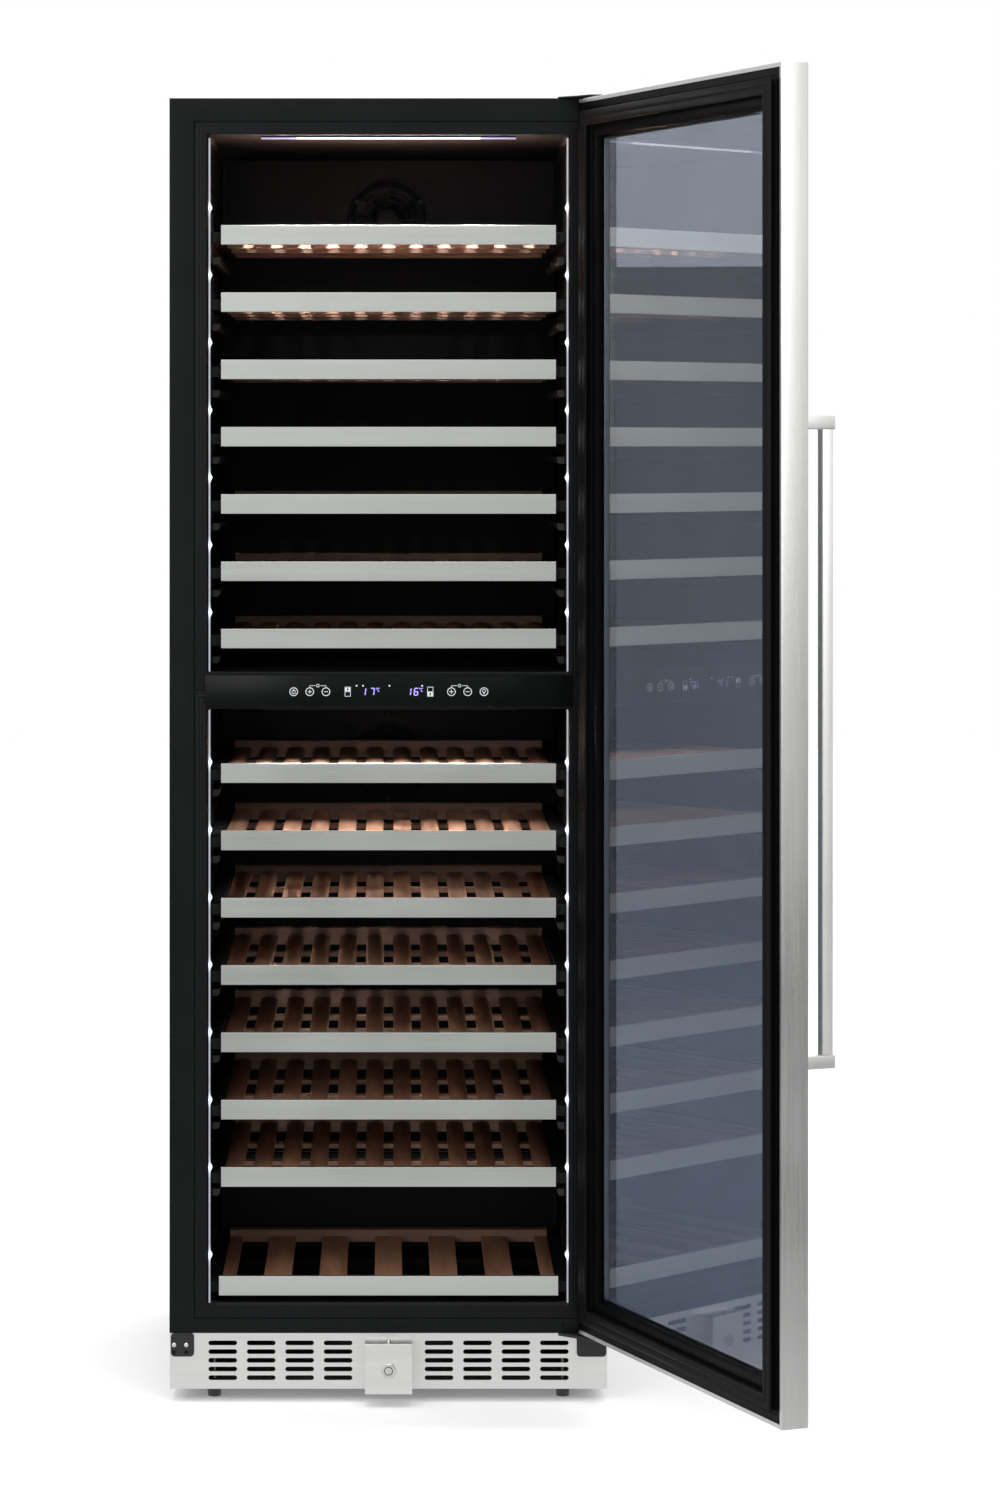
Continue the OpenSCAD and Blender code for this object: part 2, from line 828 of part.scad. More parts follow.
// a ring in the closed door: insets from the door's edge, depths from its inner face
module ring(edge0, edge1, depth0, depth1) {
    difference() {
        box([-half_w + edge0, -door_gap - depth1, door_low + edge0],
            [half_w - edge0, -door_gap - depth0, door_high - edge0]);
        box([-half_w + edge1, -door_gap - depth1 - 1, door_low + edge1],
            [half_w - edge1, -door_gap - depth0 + 1, door_high - edge1]);
    }
}

module pin_holes(r, reach) {
    for (z = [door_low - 1, door_high - reach])
        translate([pivot_x, -pivot_front, z]) cylinder(r = r, h = reach + 1);
}

module strike_hole() {
    translate([0, bolt_y, door_low - 1]) cylinder(r = bolt_r + 0.8, h = bolt_lift + 6);
}

module door_frame() {
    lip = 5.5;
    color(steel) turned_door() difference() {
        union() {
            ring(0, skin_t, 0, door_t);
            ring(0, rail_w, door_t - skin_t, door_t);
            ring(rail_w - skin_t, rail_w, outer_pane + glass_t + tiny, door_t);
            ring(0, lip, 0, skin_t);
        }
        pin_holes(pin_r + 1, skin_t + 1);
        strike_hole();
    }
}

module door_liner() {
    skin_gap = 0.1;
    inner = skin_t + skin_gap;
    color(black_plastic) turned_door() difference() {
        union() {
            ring(inner, glass_edge - 0.5, inner, door_t - inner);
            ring(glass_edge - 1, rail_w, inner, pane_set - 0.2);
            ring(glass_edge - 1, rail_w - inner, outer_pane + glass_t + 0.4, door_t - inner);
        }
        pin_holes(pin_r + run_fit, pin_reach + 3);
        strike_hole();
    }
}

// folded rubber seal
module door_gasket() {
    edge = 18;
    width = 20;
    fold = 6;
    foot = skin_t + 0.1;
    crown = -door_gap + 0.5;
    color([0.05, 0.05, 0.05]) turned_door() difference() {
        ring(edge, edge + width, crown, foot);
        ring(edge + fold, edge + width - fold, foot - 5, foot + 1);
    }
}

module pane(depth) {
    box([-half_w + glass_edge, -door_gap - depth - glass_t, door_low + glass_edge],
        [half_w - glass_edge, -door_gap - depth, door_high - glass_edge]);
}

module glass_panes() {
    color([0.35, 0.38, 0.42, 0.45]) turned_door() {
        pane(pane_set);
        pane(outer_pane);
    }
}

module glass_spacer() {
    color([0.78, 0.78, 0.76]) turned_door()
        ring(glass_edge + 3, rail_w + 3, pane_set + glass_t, outer_pane);
}

// upright bar between two posts
module handle() {
    x0 = -half_w + handle_inset;
    x1 = x0 + handle_w;
    reach = handle_gap + handle_t + 3.5;
    joint_line = 0.2;
    bar_end = (handle_span - post_h) / 2 - joint_line;
    color(steel) turned_door() {
        for (s = [-1, 1])
            box([x0, door_face - reach, door_mid + s * handle_span / 2 - post_h / 2],
                [x1, door_face, door_mid + s * handle_span / 2 + post_h / 2]);
        box([x0, door_face - handle_gap - handle_t, door_mid - bar_end],
            [x1, door_face - handle_gap, door_mid + bar_end]);
    }
}

cabinet_shell();
front_frame();
insulation();
liners();
base_tray();
rear_cover();
levelling_feet();
kick_plate();
control_panel();
control_board();
light_strips();
duct_covers();
fan_motors();
fan_upper();
fan_lower();
coils();
compressor();
shelf_runners();
hinge_brackets();
lock_bracket();
lock_cylinder();
lock_bolt();
cord_gland();
screws();
door_frame();
door_liner();
door_gasket();
glass_panes();
glass_spacer();
handle();
for (n = [0:bottom_no]) {
    rack(n);
    trim(n);
}
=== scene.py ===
"""Looks of a tall dual-zone wine cooler with a glazed door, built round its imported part.

Lengths are in millimetres in the shape functions and become metres in the meshes.
"""

import json
import math

import bmesh
import bpy
import numpy as np
from bpy.props import FloatProperty, FloatVectorProperty, IntProperty, PointerProperty
from bpy.types import Operator, Panel, PropertyGroup
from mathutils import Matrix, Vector


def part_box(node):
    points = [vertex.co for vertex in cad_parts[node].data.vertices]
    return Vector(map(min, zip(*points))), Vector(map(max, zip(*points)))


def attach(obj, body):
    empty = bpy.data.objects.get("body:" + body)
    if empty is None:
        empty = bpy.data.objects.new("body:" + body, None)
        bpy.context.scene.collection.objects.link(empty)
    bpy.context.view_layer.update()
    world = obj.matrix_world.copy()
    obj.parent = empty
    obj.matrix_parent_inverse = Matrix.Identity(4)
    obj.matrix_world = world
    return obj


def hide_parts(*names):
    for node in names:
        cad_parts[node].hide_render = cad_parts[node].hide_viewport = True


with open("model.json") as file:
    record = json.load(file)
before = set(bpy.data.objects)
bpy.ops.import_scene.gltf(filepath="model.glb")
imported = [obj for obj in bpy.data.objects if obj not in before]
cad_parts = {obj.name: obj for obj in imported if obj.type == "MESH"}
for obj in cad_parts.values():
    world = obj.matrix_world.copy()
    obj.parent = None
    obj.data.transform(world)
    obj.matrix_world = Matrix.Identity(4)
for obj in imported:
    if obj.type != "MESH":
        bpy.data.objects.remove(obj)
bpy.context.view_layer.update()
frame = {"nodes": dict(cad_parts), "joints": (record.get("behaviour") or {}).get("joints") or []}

bl_info = {
    "name": "Wine cooler builder",
    "version": (1, 0, 0),
    "blender": (4, 5, 0),
    "location": "3D View > Sidebar > Wine cooler",
    "description": "Builds the visible pieces of a tall dual-zone wine cooler",
    "category": "Object",
}

MM = 0.001
SHELVES = 15
UPPER_SHELVES = 7
ACROSS = {"x": (1, 2, 0), "y": (0, 2, 1), "z": (0, 1, 2)}


def corners(node):
    """Lowest and highest corner of a CAD node, in millimetres."""
    low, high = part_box(node)
    return np.array(low) / MM, np.array(high) / MM


CASE_LOW, CASE_HIGH = corners("cabinet_shell")
LINER_HIGH = corners("liners")[1]
PANEL_LOW, PANEL_HIGH = corners("control_panel")
DUCT_LOW, DUCT_HIGH = corners("duct_covers")
KICK_LOW, KICK_HIGH = corners("kick_plate")
GUIDE_LOW, GUIDE_HIGH = corners("light_strips")
LOCK_LOW, LOCK_HIGH = corners("lock_bracket")
BARREL_LOW = corners("lock_cylinder")[0]
BOLT_LOW, BOLT_HIGH = corners("lock_bolt")
COVER_LOW, COVER_HIGH = corners("rear_cover")
DOOR_LOW, DOOR_HIGH = corners("door_frame")
FANS = {n: corners(n) for n in ("fan_upper", "fan_lower")}
TRIMS = [corners(f"shelf_{n:02d}_trim") for n in range(1, SHELVES + 1)]
RACKS = [corners(f"shelf_{n:02d}_rack") for n in range(1, SHELVES + 1)]
HINGE = next(j for j in frame["joints"] if j["name"] == "door_hinge")
PIVOT = np.array(HINGE["pos_m"]) / MM
DOOR_TURN = math.radians(-HINGE["range_deg"][0])

HALF_W = CASE_HIGH[0]
OPEN_X = HALF_W - 51
OPEN_TOP = CASE_HIGH[2] - 49
OPEN_SILL = CASE_LOW[2] + 37
LINER_T = 2.0
FLANGE = 17.0
BACK_Y = LINER_HIGH[1] - LINER_T
STEP_Y = 393.0
STEP_Z = 275.0
PANEL_MID = (PANEL_LOW[2] + PANEL_HIGH[2]) / 2
UPPER_FLOOR = PANEL_HIGH[2] + 3
LOWER_ROOF = PANEL_LOW[2] - 3
DOOR_FACE = -45.0
DOOR_T = 37.0
DOOR_IN = -8.0
SHEET_T = 1.5
SLIDE_OUT = 4.2
SLIDE_UP = 10
TRIM_DEEP = 8
SLAT_ROOM = 9.0
FOOT_X = 238
FOOT_YS = (40, 590)
LOCK_Z = 50.0
BOLT_Y = -27
FAN_Z = {name: (low[2] + high[2]) / 2 for name, (low, high) in FANS.items()}


# ---------------------------------------------------------------- sizes and colours


def length(name, description, default, low, high):
    """A length setting given in millimetres."""
    return FloatProperty(name=name, description=description, default=default * MM, min=low * MM,
                         max=high * MM, subtype="DISTANCE", unit="LENGTH")


def count(name, description, default, low, high):
    return IntProperty(name=name, description=description, default=default, min=low, max=high)


def colour(name, description, default):
    return FloatVectorProperty(name=name, description=description, default=default, size=3, min=0,
                               max=1, subtype="COLOR")


def strength(name, description, default, high, **kind):
    return FloatProperty(name=name, description=description, default=default, min=0, max=high, **kind)


class CoolerSizes(PropertyGroup):
    """Sizes that change how the pieces look, and not how big they are."""

    liner_round: length("Liner corner", "Radius of the liners' moulded inner corners", 7, 1, 20)
    fan_blades: count("Fan blades", "Number of blades on each fan", 7, 3, 11)
    slat_count: count("Slats", "Number of slats on a standard shelf", 12, 6, 16)
    slat_rise: length("Slat crown", "Rise of the slats' rounded tops", 3, 0.5, 4)
    seal_folds: count("Seal folds", "Number of bellows folds on each side of the door seal", 2, 1, 4)


class CoolerColours(PropertyGroup):
    """Colours of the finishes, as linear values."""

    casing: colour("Casing", "Satin black coat of the cabinet", (0.0046, 0.0056, 0.0058))
    liner: colour("Liner", "Black plastic of the inner liners", (0.0036, 0.0041, 0.0046))
    steel: colour("Brushed steel", "Steel of the door, handle and trims", (0.69, 0.695, 0.675))
    wood_light: colour("Light wood", "Light bands of the beech slats", (0.50, 0.275, 0.165))
    wood_dark: colour("Dark wood", "Dark grain lines of the beech slats", (0.24, 0.108, 0.060))
    glass: colour("Glass tint", "Tint of each of the door's two panes", (0.318, 0.350, 0.412))
    glow: colour("Cabinet light", "Colour of the light guides and light bars", (0.86, 0.92, 1.0))
    digits: colour("Display", "Colour of the lit digits", (0.42, 0.35, 1.0))


class CoolerLight(PropertyGroup):
    """Strength of the studio and of the cabinet's own lights."""

    studio: strength("Studio", "Strength of the soft studio surround", 1.0, 4)
    front: strength("Front lamps", "Power of each big front lamp", 50.0, 500, subtype="POWER")
    bar: strength("Light bars", "Power of each light bar in the cabinet", 8.0, 20, subtype="POWER")
    guide: strength("Light guides", "Glow of the upright light guides", 1.5, 20)


# ---------------------------------------------------------------- shapes


class Shape:
    """Gathers surfaces, each a grid of points in millimetres, into one mesh."""

    def __init__(self):
        self.points, self.faces, self.finish, self.glow, self.total = [], [], [], [], 0

    def add(self, points, face_sets, finish=0, glow=0.0):
        """points (n, 3) and arrays of faces whose numbers count from 0 within these points."""
        points = np.asarray(points, float).reshape(-1, 3)
        for faces in face_sets:
            faces = np.asarray(faces, int)
            self.faces.append(faces + self.total)
            self.finish.append(np.broadcast_to(np.asarray(finish), (len(faces),)))
        self.points.append(points)
        self.glow.append(np.broadcast_to(np.asarray(glow, float).ravel(), (len(points),)))
        self.total += len(points)

    def grid(self, rows, wrap=True, ring=False, caps=True, finish=0, glow=0.0):
        """rows[v, u]: quad (v,u) (v,u+1) (v+1,u+1) (v+1,u) for every cell. wrap closes u, ring closes v,
        caps closes both ends with one face each. finish is one number, or one for each face."""
        rows = np.asarray(rows, float)
        index = np.arange(rows.shape[0] * rows.shape[1]).reshape(rows.shape[:2])
        here, beside = (index, np.roll(index, -1, 1)) if wrap else (index[:, :-1], index[:, 1:])
        if ring:
            sets = [np.stack([here, beside, np.roll(beside, -1, 0), np.roll(here, -1, 0)], -1)]
        else:
            sets = [np.stack([here[:-1], beside[:-1], beside[1:], here[1:]], -1)]
        sets = [s.reshape(-1, 4) for s in sets]
        if caps and not ring:
            sets += [index[:1, ::-1], index[-1:]]
        self.add(rows, sets, finish, glow)

    def bar(self, low, high, finish=0):
        """A rectangle (y, z) carried along X: its corners are low or high, at x = low and x = high."""
        (x0, y0, z0), (x1, y1, z1) = low, high
        outline = np.array([(y0, z0), (y1, z0), (y1, z1), (y0, z1)])
        self.grid(carried(outline, "x", (x0, x1)), finish=finish)

    def plate(self, axis, at, a_lines, b_lines, holes=None, side=8, flip=False, finish=0):
        """A flat sheet in the plane axis = at, cut into cells by a_lines and b_lines. Each cell is one
        face with `side` steps per edge, or, where holes[(i, j)] gives a loop of 4 * side points, a band
        of quads between the cell's edge and that loop."""
        step = np.linspace(0, 1, side, endpoint=False)
        holes = holes or {}
        for i, (a0, a1) in enumerate(zip(a_lines[:-1], a_lines[1:])):
            for j, (b0, b1) in enumerate(zip(b_lines[:-1], b_lines[1:])):
                a = np.r_[a0 + step * (a1 - a0), np.full(side, a1), a1 + step * (a0 - a1), np.full(side, a0)]
                b = np.r_[np.full(side, b0), b0 + step * (b1 - b0), np.full(side, b1), b1 + step * (b0 - b1)]
                edge = np.stack([a, b], -1)
                hole = holes.get((i, j))
                loops = edge[None] if hole is None else np.stack([edge, hole])
                rows = np.empty(loops.shape[:2] + (3,))
                p, q, r = ACROSS[axis]
                rows[..., p], rows[..., q], rows[..., r] = loops[..., 0], loops[..., 1], at
                if flip:
                    rows = rows[:, ::-1]
                if hole is None:
                    self.add(rows, [np.arange(4 * side)[None]], finish)
                else:
                    self.grid(rows, caps=False, finish=finish)


def carried(outline, axis, stations):
    """outline[u] = (a, b) across the axis, repeated at each station t: point[v, u] = (a_u, b_u, t_v)."""
    outline, stations = np.asarray(outline, float), np.asarray(stations, float)
    a, b, along = ACROSS[axis]
    rows = np.empty((len(stations), len(outline), 3))
    rows[..., a], rows[..., b], rows[..., along] = outline[:, 0], outline[:, 1], stations[:, None]
    return rows


def turned(profile, centre, axis, steps=32, swell=None):
    """profile[v] = (radius r, distance t) turned about the axis through centre: point =
    (r cos angle, r sin angle, t). swell(angle) multiplies the radius."""
    profile = np.asarray(profile, float)
    angle = np.arange(steps) * math.tau / steps
    reach = profile[:, :1] * (np.ones(steps) if swell is None else swell(angle))
    a, b, along = ACROSS[axis]
    rows = np.empty((len(profile), steps, 3))
    rows[..., a] = centre[a] + reach * np.cos(angle)
    rows[..., b] = centre[b] + reach * np.sin(angle)
    rows[..., along] = centre[along] + profile[:, 1:]
    return rows


def framed(section, outer, inner):
    """section[u] = (t, d) carried round four mitred corners: the point is t of the way from the outer
    rectangle to the inner one, at depth y = d."""
    section = np.asarray(section, float)
    corner = np.array([(0, 0), (1, 0), (1, 1), (0, 1)])
    out_c, in_c = np.asarray(outer, float)[corner, [0, 1]], np.asarray(inner, float)[corner, [0, 1]]
    rows = np.empty((4, len(section), 3))
    t = section[None, :, 0]
    rows[..., 0] = out_c[:, :1] + t * (in_c[:, :1] - out_c[:, :1])
    rows[..., 2] = out_c[:, 1:] + t * (in_c[:, 1:] - out_c[:, 1:])
    rows[..., 1] = section[None, :, 1]
    return rows


def door_ring(section):
    """section[u] = (inset s from the closed door's edge, depth d in front of its inner face) carried
    round the door's four mitred corners."""
    section = np.asarray(section, float)
    outer = ((-HALF_W, DOOR_LOW[2]), (HALF_W, DOOR_HIGH[2]))
    inner = ((-HALF_W + 100, DOOR_LOW[2] + 100), (HALF_W - 100, DOOR_HIGH[2] - 100))
    return framed(np.stack([section[:, 0] / 100, DOOR_IN - section[:, 1]], -1), outer, inner)


def rounded(a0, b0, a1, b1, radius, steps=4):
    """Outline of a rectangle whose corners are quarter circles of that radius."""
    turn = np.linspace(0, math.pi / 2, steps + 1)
    parts = []
    for k, (a, b) in enumerate([(a1 - radius, b1 - radius), (a0 + radius, b1 - radius),
                                (a0 + radius, b0 + radius), (a1 - radius, b0 + radius)]):
        angle = turn + k * math.pi / 2
        parts.append(np.stack([a + radius * np.cos(angle), b + radius * np.sin(angle)], -1))
    return np.concatenate(parts)


def stadium(a, b, length, height, side=8):
    """Loop of a slot with round ends: straight, half circle, straight, half circle, `side` steps each,
    in step with a cell's edge."""
    step = np.linspace(0, 1, side, endpoint=False)
    reach, radius = (length - height) / 2, height / 2
    turn = step * math.pi - math.pi / 2
    along = np.r_[-reach + 2 * reach * step, reach + radius * np.cos(turn),
                  reach - 2 * reach * step, -reach - radius * np.cos(turn)]
    up = np.r_[np.full(side, -radius), radius * np.sin(turn), np.full(side, radius), -radius * np.sin(turn)]
    return np.stack([a + along, b + up], -1)


def circle(a, b, radius, side=8):
    """Loop of a round hole, started at the lower left so that it is in step with a cell's edge."""
    angle = np.arange(4 * side) * math.tau / (4 * side) - 0.75 * math.pi
    return np.stack([a + radius * np.cos(angle), b + radius * np.sin(angle)], -1)


def stroke(a0, b0, a1, b1, width):
    """Outline of a straight mark of that width between two points."""
    along = np.array([a1 - a0, b1 - b0], float)
    along /= np.linalg.norm(along)
    side = np.array([-along[1], along[0]]) * width / 2
    start, end = np.array([a0, b0]), np.array([a1, b1])
    return np.stack([start - side, end - side, end + side, start + side])


def swing_door(points):
    """Turns points of the closed door about the hinge axis to the angle it stands open at:
    x' = x cos - y sin, y' = x sin + y cos about the pivot."""
    c, s = math.cos(DOOR_TURN), math.sin(DOOR_TURN)
    offset = points[:, :2] - PIVOT[:2]
    out = points.copy()
    out[:, 0] = PIVOT[0] + c * offset[:, 0] - s * offset[:, 1]
    out[:, 1] = PIVOT[1] + s * offset[:, 0] + c * offset[:, 1]
    return out


def make_piece(name, shape, body, finishes, nodes=(), bevel=0.0, segments=2, sheet=0.0,
               door=False, merge=False, outward=True, early_bevel=False, crease=35):
    """Puts a Shape into a mesh object, in metres, with its modifiers and materials, on its body."""
    points = np.concatenate(shape.points)
    if door:
        points = swing_door(points)
    mesh = bpy.data.meshes.new(name)
    mesh.from_pydata(points * MM, [], [f for faces in shape.faces for f in faces.tolist()])
    mesh.polygons.foreach_set("material_index", np.concatenate(shape.finish).astype(np.int32))
    glow = mesh.attributes.new("glow", "FLOAT", "POINT")
    glow.data.foreach_set("value", np.concatenate(shape.glow).astype(np.float32))
    if merge or outward:
        work = bmesh.new()
        work.from_mesh(mesh)
        if merge:
            bmesh.ops.remove_doubles(work, verts=work.verts, dist=0.002 * MM)
        if outward:
            bmesh.ops.recalc_face_normals(work, faces=work.faces)
        work.to_mesh(mesh)
        work.free()
    mesh.polygons.foreach_set("use_smooth", np.ones(len(mesh.polygons), bool))
    if not bevel:
        mesh.set_sharp_from_angle(angle=math.radians(crease))
    piece = bpy.data.objects.new(name, mesh)
    bpy.context.scene.collection.objects.link(piece)
    for finish in finishes:
        mesh.materials.append(FINISH[finish])

    def add_bevel():
        edge = piece.modifiers.new("edge", "BEVEL")
        edge.width, edge.segments = bevel * MM, segments
        edge.limit_method, edge.angle_limit = "ANGLE", math.radians(crease)
        edge.harden_normals = True

    if early_bevel and bevel:
        add_bevel()
    if sheet:
        wall = piece.modifiers.new("sheet", "SOLIDIFY")
        wall.thickness, wall.offset = sheet * MM, -1
        wall.use_even_offset = True
    if bevel and not early_bevel:
        add_bevel()
    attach(piece, body)
    if nodes:
        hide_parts(*nodes)
    return piece


def make_sheet(name, shape, finish, nodes, bevel=0.5, thickness=SHEET_T):
    """A cabinet piece of folded sheet: its faces are the outside, and the wall grows inwards."""
    return make_piece(name, shape, "cabinet", [finish], nodes, bevel=bevel, sheet=thickness,
                      merge=True, outward=False)


# ---------------------------------------------------------------- shader groups


def group_of(name, inputs, outputs):
    """A new shader node group with these (name, socket type, default) inputs and (name, type) outputs."""
    group = bpy.data.node_groups.new(name, "ShaderNodeTree")
    for label, kind, value in inputs:
        socket = group.interface.new_socket(name=label, in_out="INPUT", socket_type="NodeSocket" + kind)
        if value is not None:
            socket.default_value = value
    for label, kind in outputs:
        group.interface.new_socket(name=label, in_out="OUTPUT", socket_type="NodeSocket" + kind)
    return group, group.nodes.new("NodeGroupInput"), group.nodes.new("NodeGroupOutput")


def node(tree, kind, links=None, **settings):
    """Adds a shader node; settings are its properties, links its inputs by name or number, as values
    or sockets."""
    made = tree.nodes.new("ShaderNode" + kind)
    for key, value in settings.items():
        setattr(made, key, value)
    for key, value in (links or {}).items():
        if isinstance(value, bpy.types.NodeSocket):
            tree.links.new(value, made.inputs[key])
        else:
            made.inputs[key].default_value = value
    return made


def maths(tree, operation, a, b=0.0, clamp=False):
    return node(tree, "Math", {0: a, 1: b}, operation=operation, use_clamp=clamp).outputs[0]


def stretched(tree, vector, scale):
    return node(tree, "VectorMath", {0: vector, 1: scale}, operation="MULTIPLY").outputs[0]


def spread(tree, value, low, high, out_low=0.0, out_high=1.0):
    """Maps low..high of a value to out_low..out_high, clamped."""
    return node(tree, "MapRange", {0: value, 1: low, 2: high, 3: out_low, 4: out_high}).outputs[0]


def noise(tree, vector, scale=1.0, detail=2.0, roughness=0.5, distortion=0.0):
    return node(tree, "TexNoise", {"Vector": vector, "Scale": scale, "Detail": detail,
                                   "Roughness": roughness, "Distortion": distortion}).outputs[0]


def mixed_colour(tree, share, first, second):
    return node(tree, "Mix", {0: share, 6: first, 7: second}, data_type="RGBA").outputs[2]


def build_brushed_group():
    """Brushing: noise drawn out along one direction, fine hairlines and slow bands."""
    group, given, out = group_of(
        "brushed_finish",
        [("Vector", "Vector", None), ("Fine", "Vector", (8, 900, 900)),
         ("Broad", "Vector", (1.2, 60, 60))],
        [("Shade", "Float"), ("Roughness", "Float"), ("Height", "Float")],
    )
    place, fine_scale, broad_scale = given.outputs[:3]
    fine = noise(group, stretched(group, place, fine_scale), detail=3.0, roughness=0.7)
    broad = noise(group, stretched(group, place, broad_scale), detail=4.0, roughness=0.6)
    cloud = noise(group, place, 5.0, 3.0)
    mixed = maths(group, "ADD", maths(group, "MULTIPLY", fine, 0.55), maths(group, "MULTIPLY", broad, 0.45))
    group.links.new(spread(group, mixed, 0.30, 0.70, 0.90, 1.06), out.inputs[0])
    rough = maths(group, "ADD", spread(group, fine, 0.3, 0.7, -0.05, 0.05),
                  spread(group, cloud, 0.35, 0.65, -0.035, 0.035))
    group.links.new(rough, out.inputs[1])
    group.links.new(mixed, out.inputs[2])
    return group


def build_moulded_group():
    """Moulded or coated skin: a fine pebbled height and slow, faint changes of gloss."""
    group, given, out = group_of(
        "moulded_skin",
        [("Vector", "Vector", None), ("Pebble", "Float", 900.0)],
        [("Shade", "Float"), ("Roughness", "Float"), ("Height", "Float")],
    )
    pebble = noise(group, given.outputs[0], given.outputs[1])
    slow = noise(group, given.outputs[0], 9.0, 5.0, 0.6)
    group.links.new(spread(group, slow, 0.35, 0.65, 0.90, 1.10), out.inputs[0])
    group.links.new(spread(group, slow, 0.35, 0.65, -0.04, 0.05), out.inputs[1])
    group.links.new(pebble, out.inputs[2])
    return group


def build_dust_group():
    """Fine dust that lies on faces that look up: the normal's Z, broken up by noise."""
    group, given, out = group_of(
        "lying_dust",
        [("Vector", "Vector", None), ("Base", "Color", None),
         ("Amount", "Float", 0.06)],
        [("Color", "Color"), ("Mask", "Float")],
    )
    normal = node(group, "NewGeometry").outputs["Normal"]
    up = node(group, "SeparateXYZ", {0: normal}).outputs[2]
    specks = noise(group, given.outputs[0], 60.0, 6.0, 0.75)
    mask = maths(group, "MULTIPLY", spread(group, up, 0.5, 1.0), spread(group, specks, 0.35, 0.7))
    mask = maths(group, "MULTIPLY", mask, given.outputs[2], clamp=True)
    dusty = mixed_colour(group, mask, given.outputs[1], (0.42, 0.40, 0.37, 1))
    group.links.new(dusty, out.inputs[0])
    group.links.new(mask, out.inputs[1])
    return group


def build_wood_group():
    """Beech: long fibres, slow bands, short dark flecks, and a shade of its own for every slat."""
    group, given, out = group_of(
        "beech_grain",
        [("Vector", "Vector", None), ("Along", "Vector", (60, 4, 60)),
         ("Board", "Vector", (0.0368, 2, 0.0917)), ("Light", "Color", None),
         ("Dark", "Color", None)],
        [("Color", "Color"), ("Roughness", "Float"), ("Height", "Float")],
    )
    place, along = given.outputs[0], given.outputs[1]
    board = node(group, "VectorMath", {0: place, 1: given.outputs[2]}, operation="SNAP").outputs[0]
    chance = node(group, "TexWhiteNoise", {"Vector": board}, noise_dimensions="3D")
    shifted = node(group, "VectorMath", {0: place, 1: chance.outputs[1]}, operation="ADD").outputs[0]
    long_place = stretched(group, shifted, along)
    bands = noise(group, long_place, 1.0, 5.0, 0.55, 0.5)
    fibre = noise(group, stretched(group, long_place, (14, 3, 14)), 1.0, 3.0, 0.7)
    fleck = node(group, "TexVoronoi", {"Vector": stretched(group, long_place, (9, 9, 9)),
                                       "Scale": 1.0}).outputs[0]
    tone = maths(group, "ADD", spread(group, bands, 0.30, 0.70, 0.0, 0.75),
                 spread(group, fibre, 0.30, 0.70, 0.0, 0.30))
    tone = maths(group, "ADD", tone, spread(group, chance.outputs[0], 0.0, 1.0, -0.30, 0.26))
    tone = maths(group, "SUBTRACT", tone, spread(group, fleck, 0.0, 0.16, 0.22, 0.0), clamp=True)
    group.links.new(mixed_colour(group, tone, given.outputs[4], given.outputs[3]), out.inputs[0])
    group.links.new(spread(group, fibre, 0.3, 0.7, 0.42, 0.58), out.inputs[1])
    group.links.new(fibre, out.inputs[2])
    return group


# ---------------------------------------------------------------- materials

FINISH = {}


def new_finish(name, **values):
    """A material whose Principled shader has these constant values on its own sockets."""
    material = bpy.data.materials.new(name)
    material.use_nodes = True
    tree = material.node_tree
    shader = next(n for n in tree.nodes if n.type == "BSDF_PRINCIPLED")
    for key, value in values.items():
        shader.inputs[key.replace("_", " ")].default_value = value
    place = tree.nodes.new("ShaderNodeTexCoord").outputs["Object"]
    FINISH[name] = material
    return tree, shader, place


def use_group(tree, name, **links):
    return node(tree, "Group", links, node_tree=bpy.data.node_groups[name])


def shade_colour(tree, colour, factor):
    """The colour, a value or a socket, times a grey factor."""
    colour = colour if isinstance(colour, bpy.types.NodeSocket) else tuple(colour)[:3]
    return node(tree, "VectorMath", {0: colour, 3: factor}, operation="SCALE").outputs[0]


def raise_bump(tree, shader, height, strength, distance):
    bump = node(tree, "Bump", {"Height": height, "Strength": strength, "Distance": distance})
    tree.links.new(bump.outputs[0], shader.inputs["Normal"])


def cover(tree, shader, place, skin, colour, roughness, dust):
    """Links the skin's shade and roughness, with dust lying on it, to the Principled shader."""
    tinted = shade_colour(tree, colour, skin.outputs["Shade"])
    dusty = use_group(tree, "lying_dust", Vector=place, Base=tinted, Amount=dust)
    tree.links.new(dusty.outputs["Color"], shader.inputs["Base Color"])
    rough = maths(tree, "ADD", skin.outputs["Roughness"], roughness)
    tree.links.new(maths(tree, "ADD", rough, dusty.outputs["Mask"]), shader.inputs["Roughness"])


def brushed_steel(name, colour, along, roughness=0.33, dust=0.03):
    """Brushed steel whose hairlines run along one axis."""
    tree, shader, place = new_finish(name, Metallic=1.0)
    k = "xyz".index(along)
    fine, broad = np.full(3, 1500.0), np.full(3, 70.0)
    fine[k], broad[k] = 9.0, 1.1
    grain = use_group(tree, "brushed_finish", Vector=place, Fine=tuple(fine), Broad=tuple(broad))
    cover(tree, shader, place, grain, colour, roughness, dust)
    raise_bump(tree, shader, grain.outputs["Height"], 0.10, 0.0004)


def moulded(name, colour, roughness, pebble=900.0, bump=0.12, dust=0.05, **values):
    """Moulded plastic, rubber or a sprayed coat."""
    tree, shader, place = new_finish(name, **values)
    skin = use_group(tree, "moulded_skin", Vector=place, Pebble=pebble)
    cover(tree, shader, place, skin, colour, roughness, dust)
    raise_bump(tree, shader, skin.outputs["Height"], bump, 0.0003)


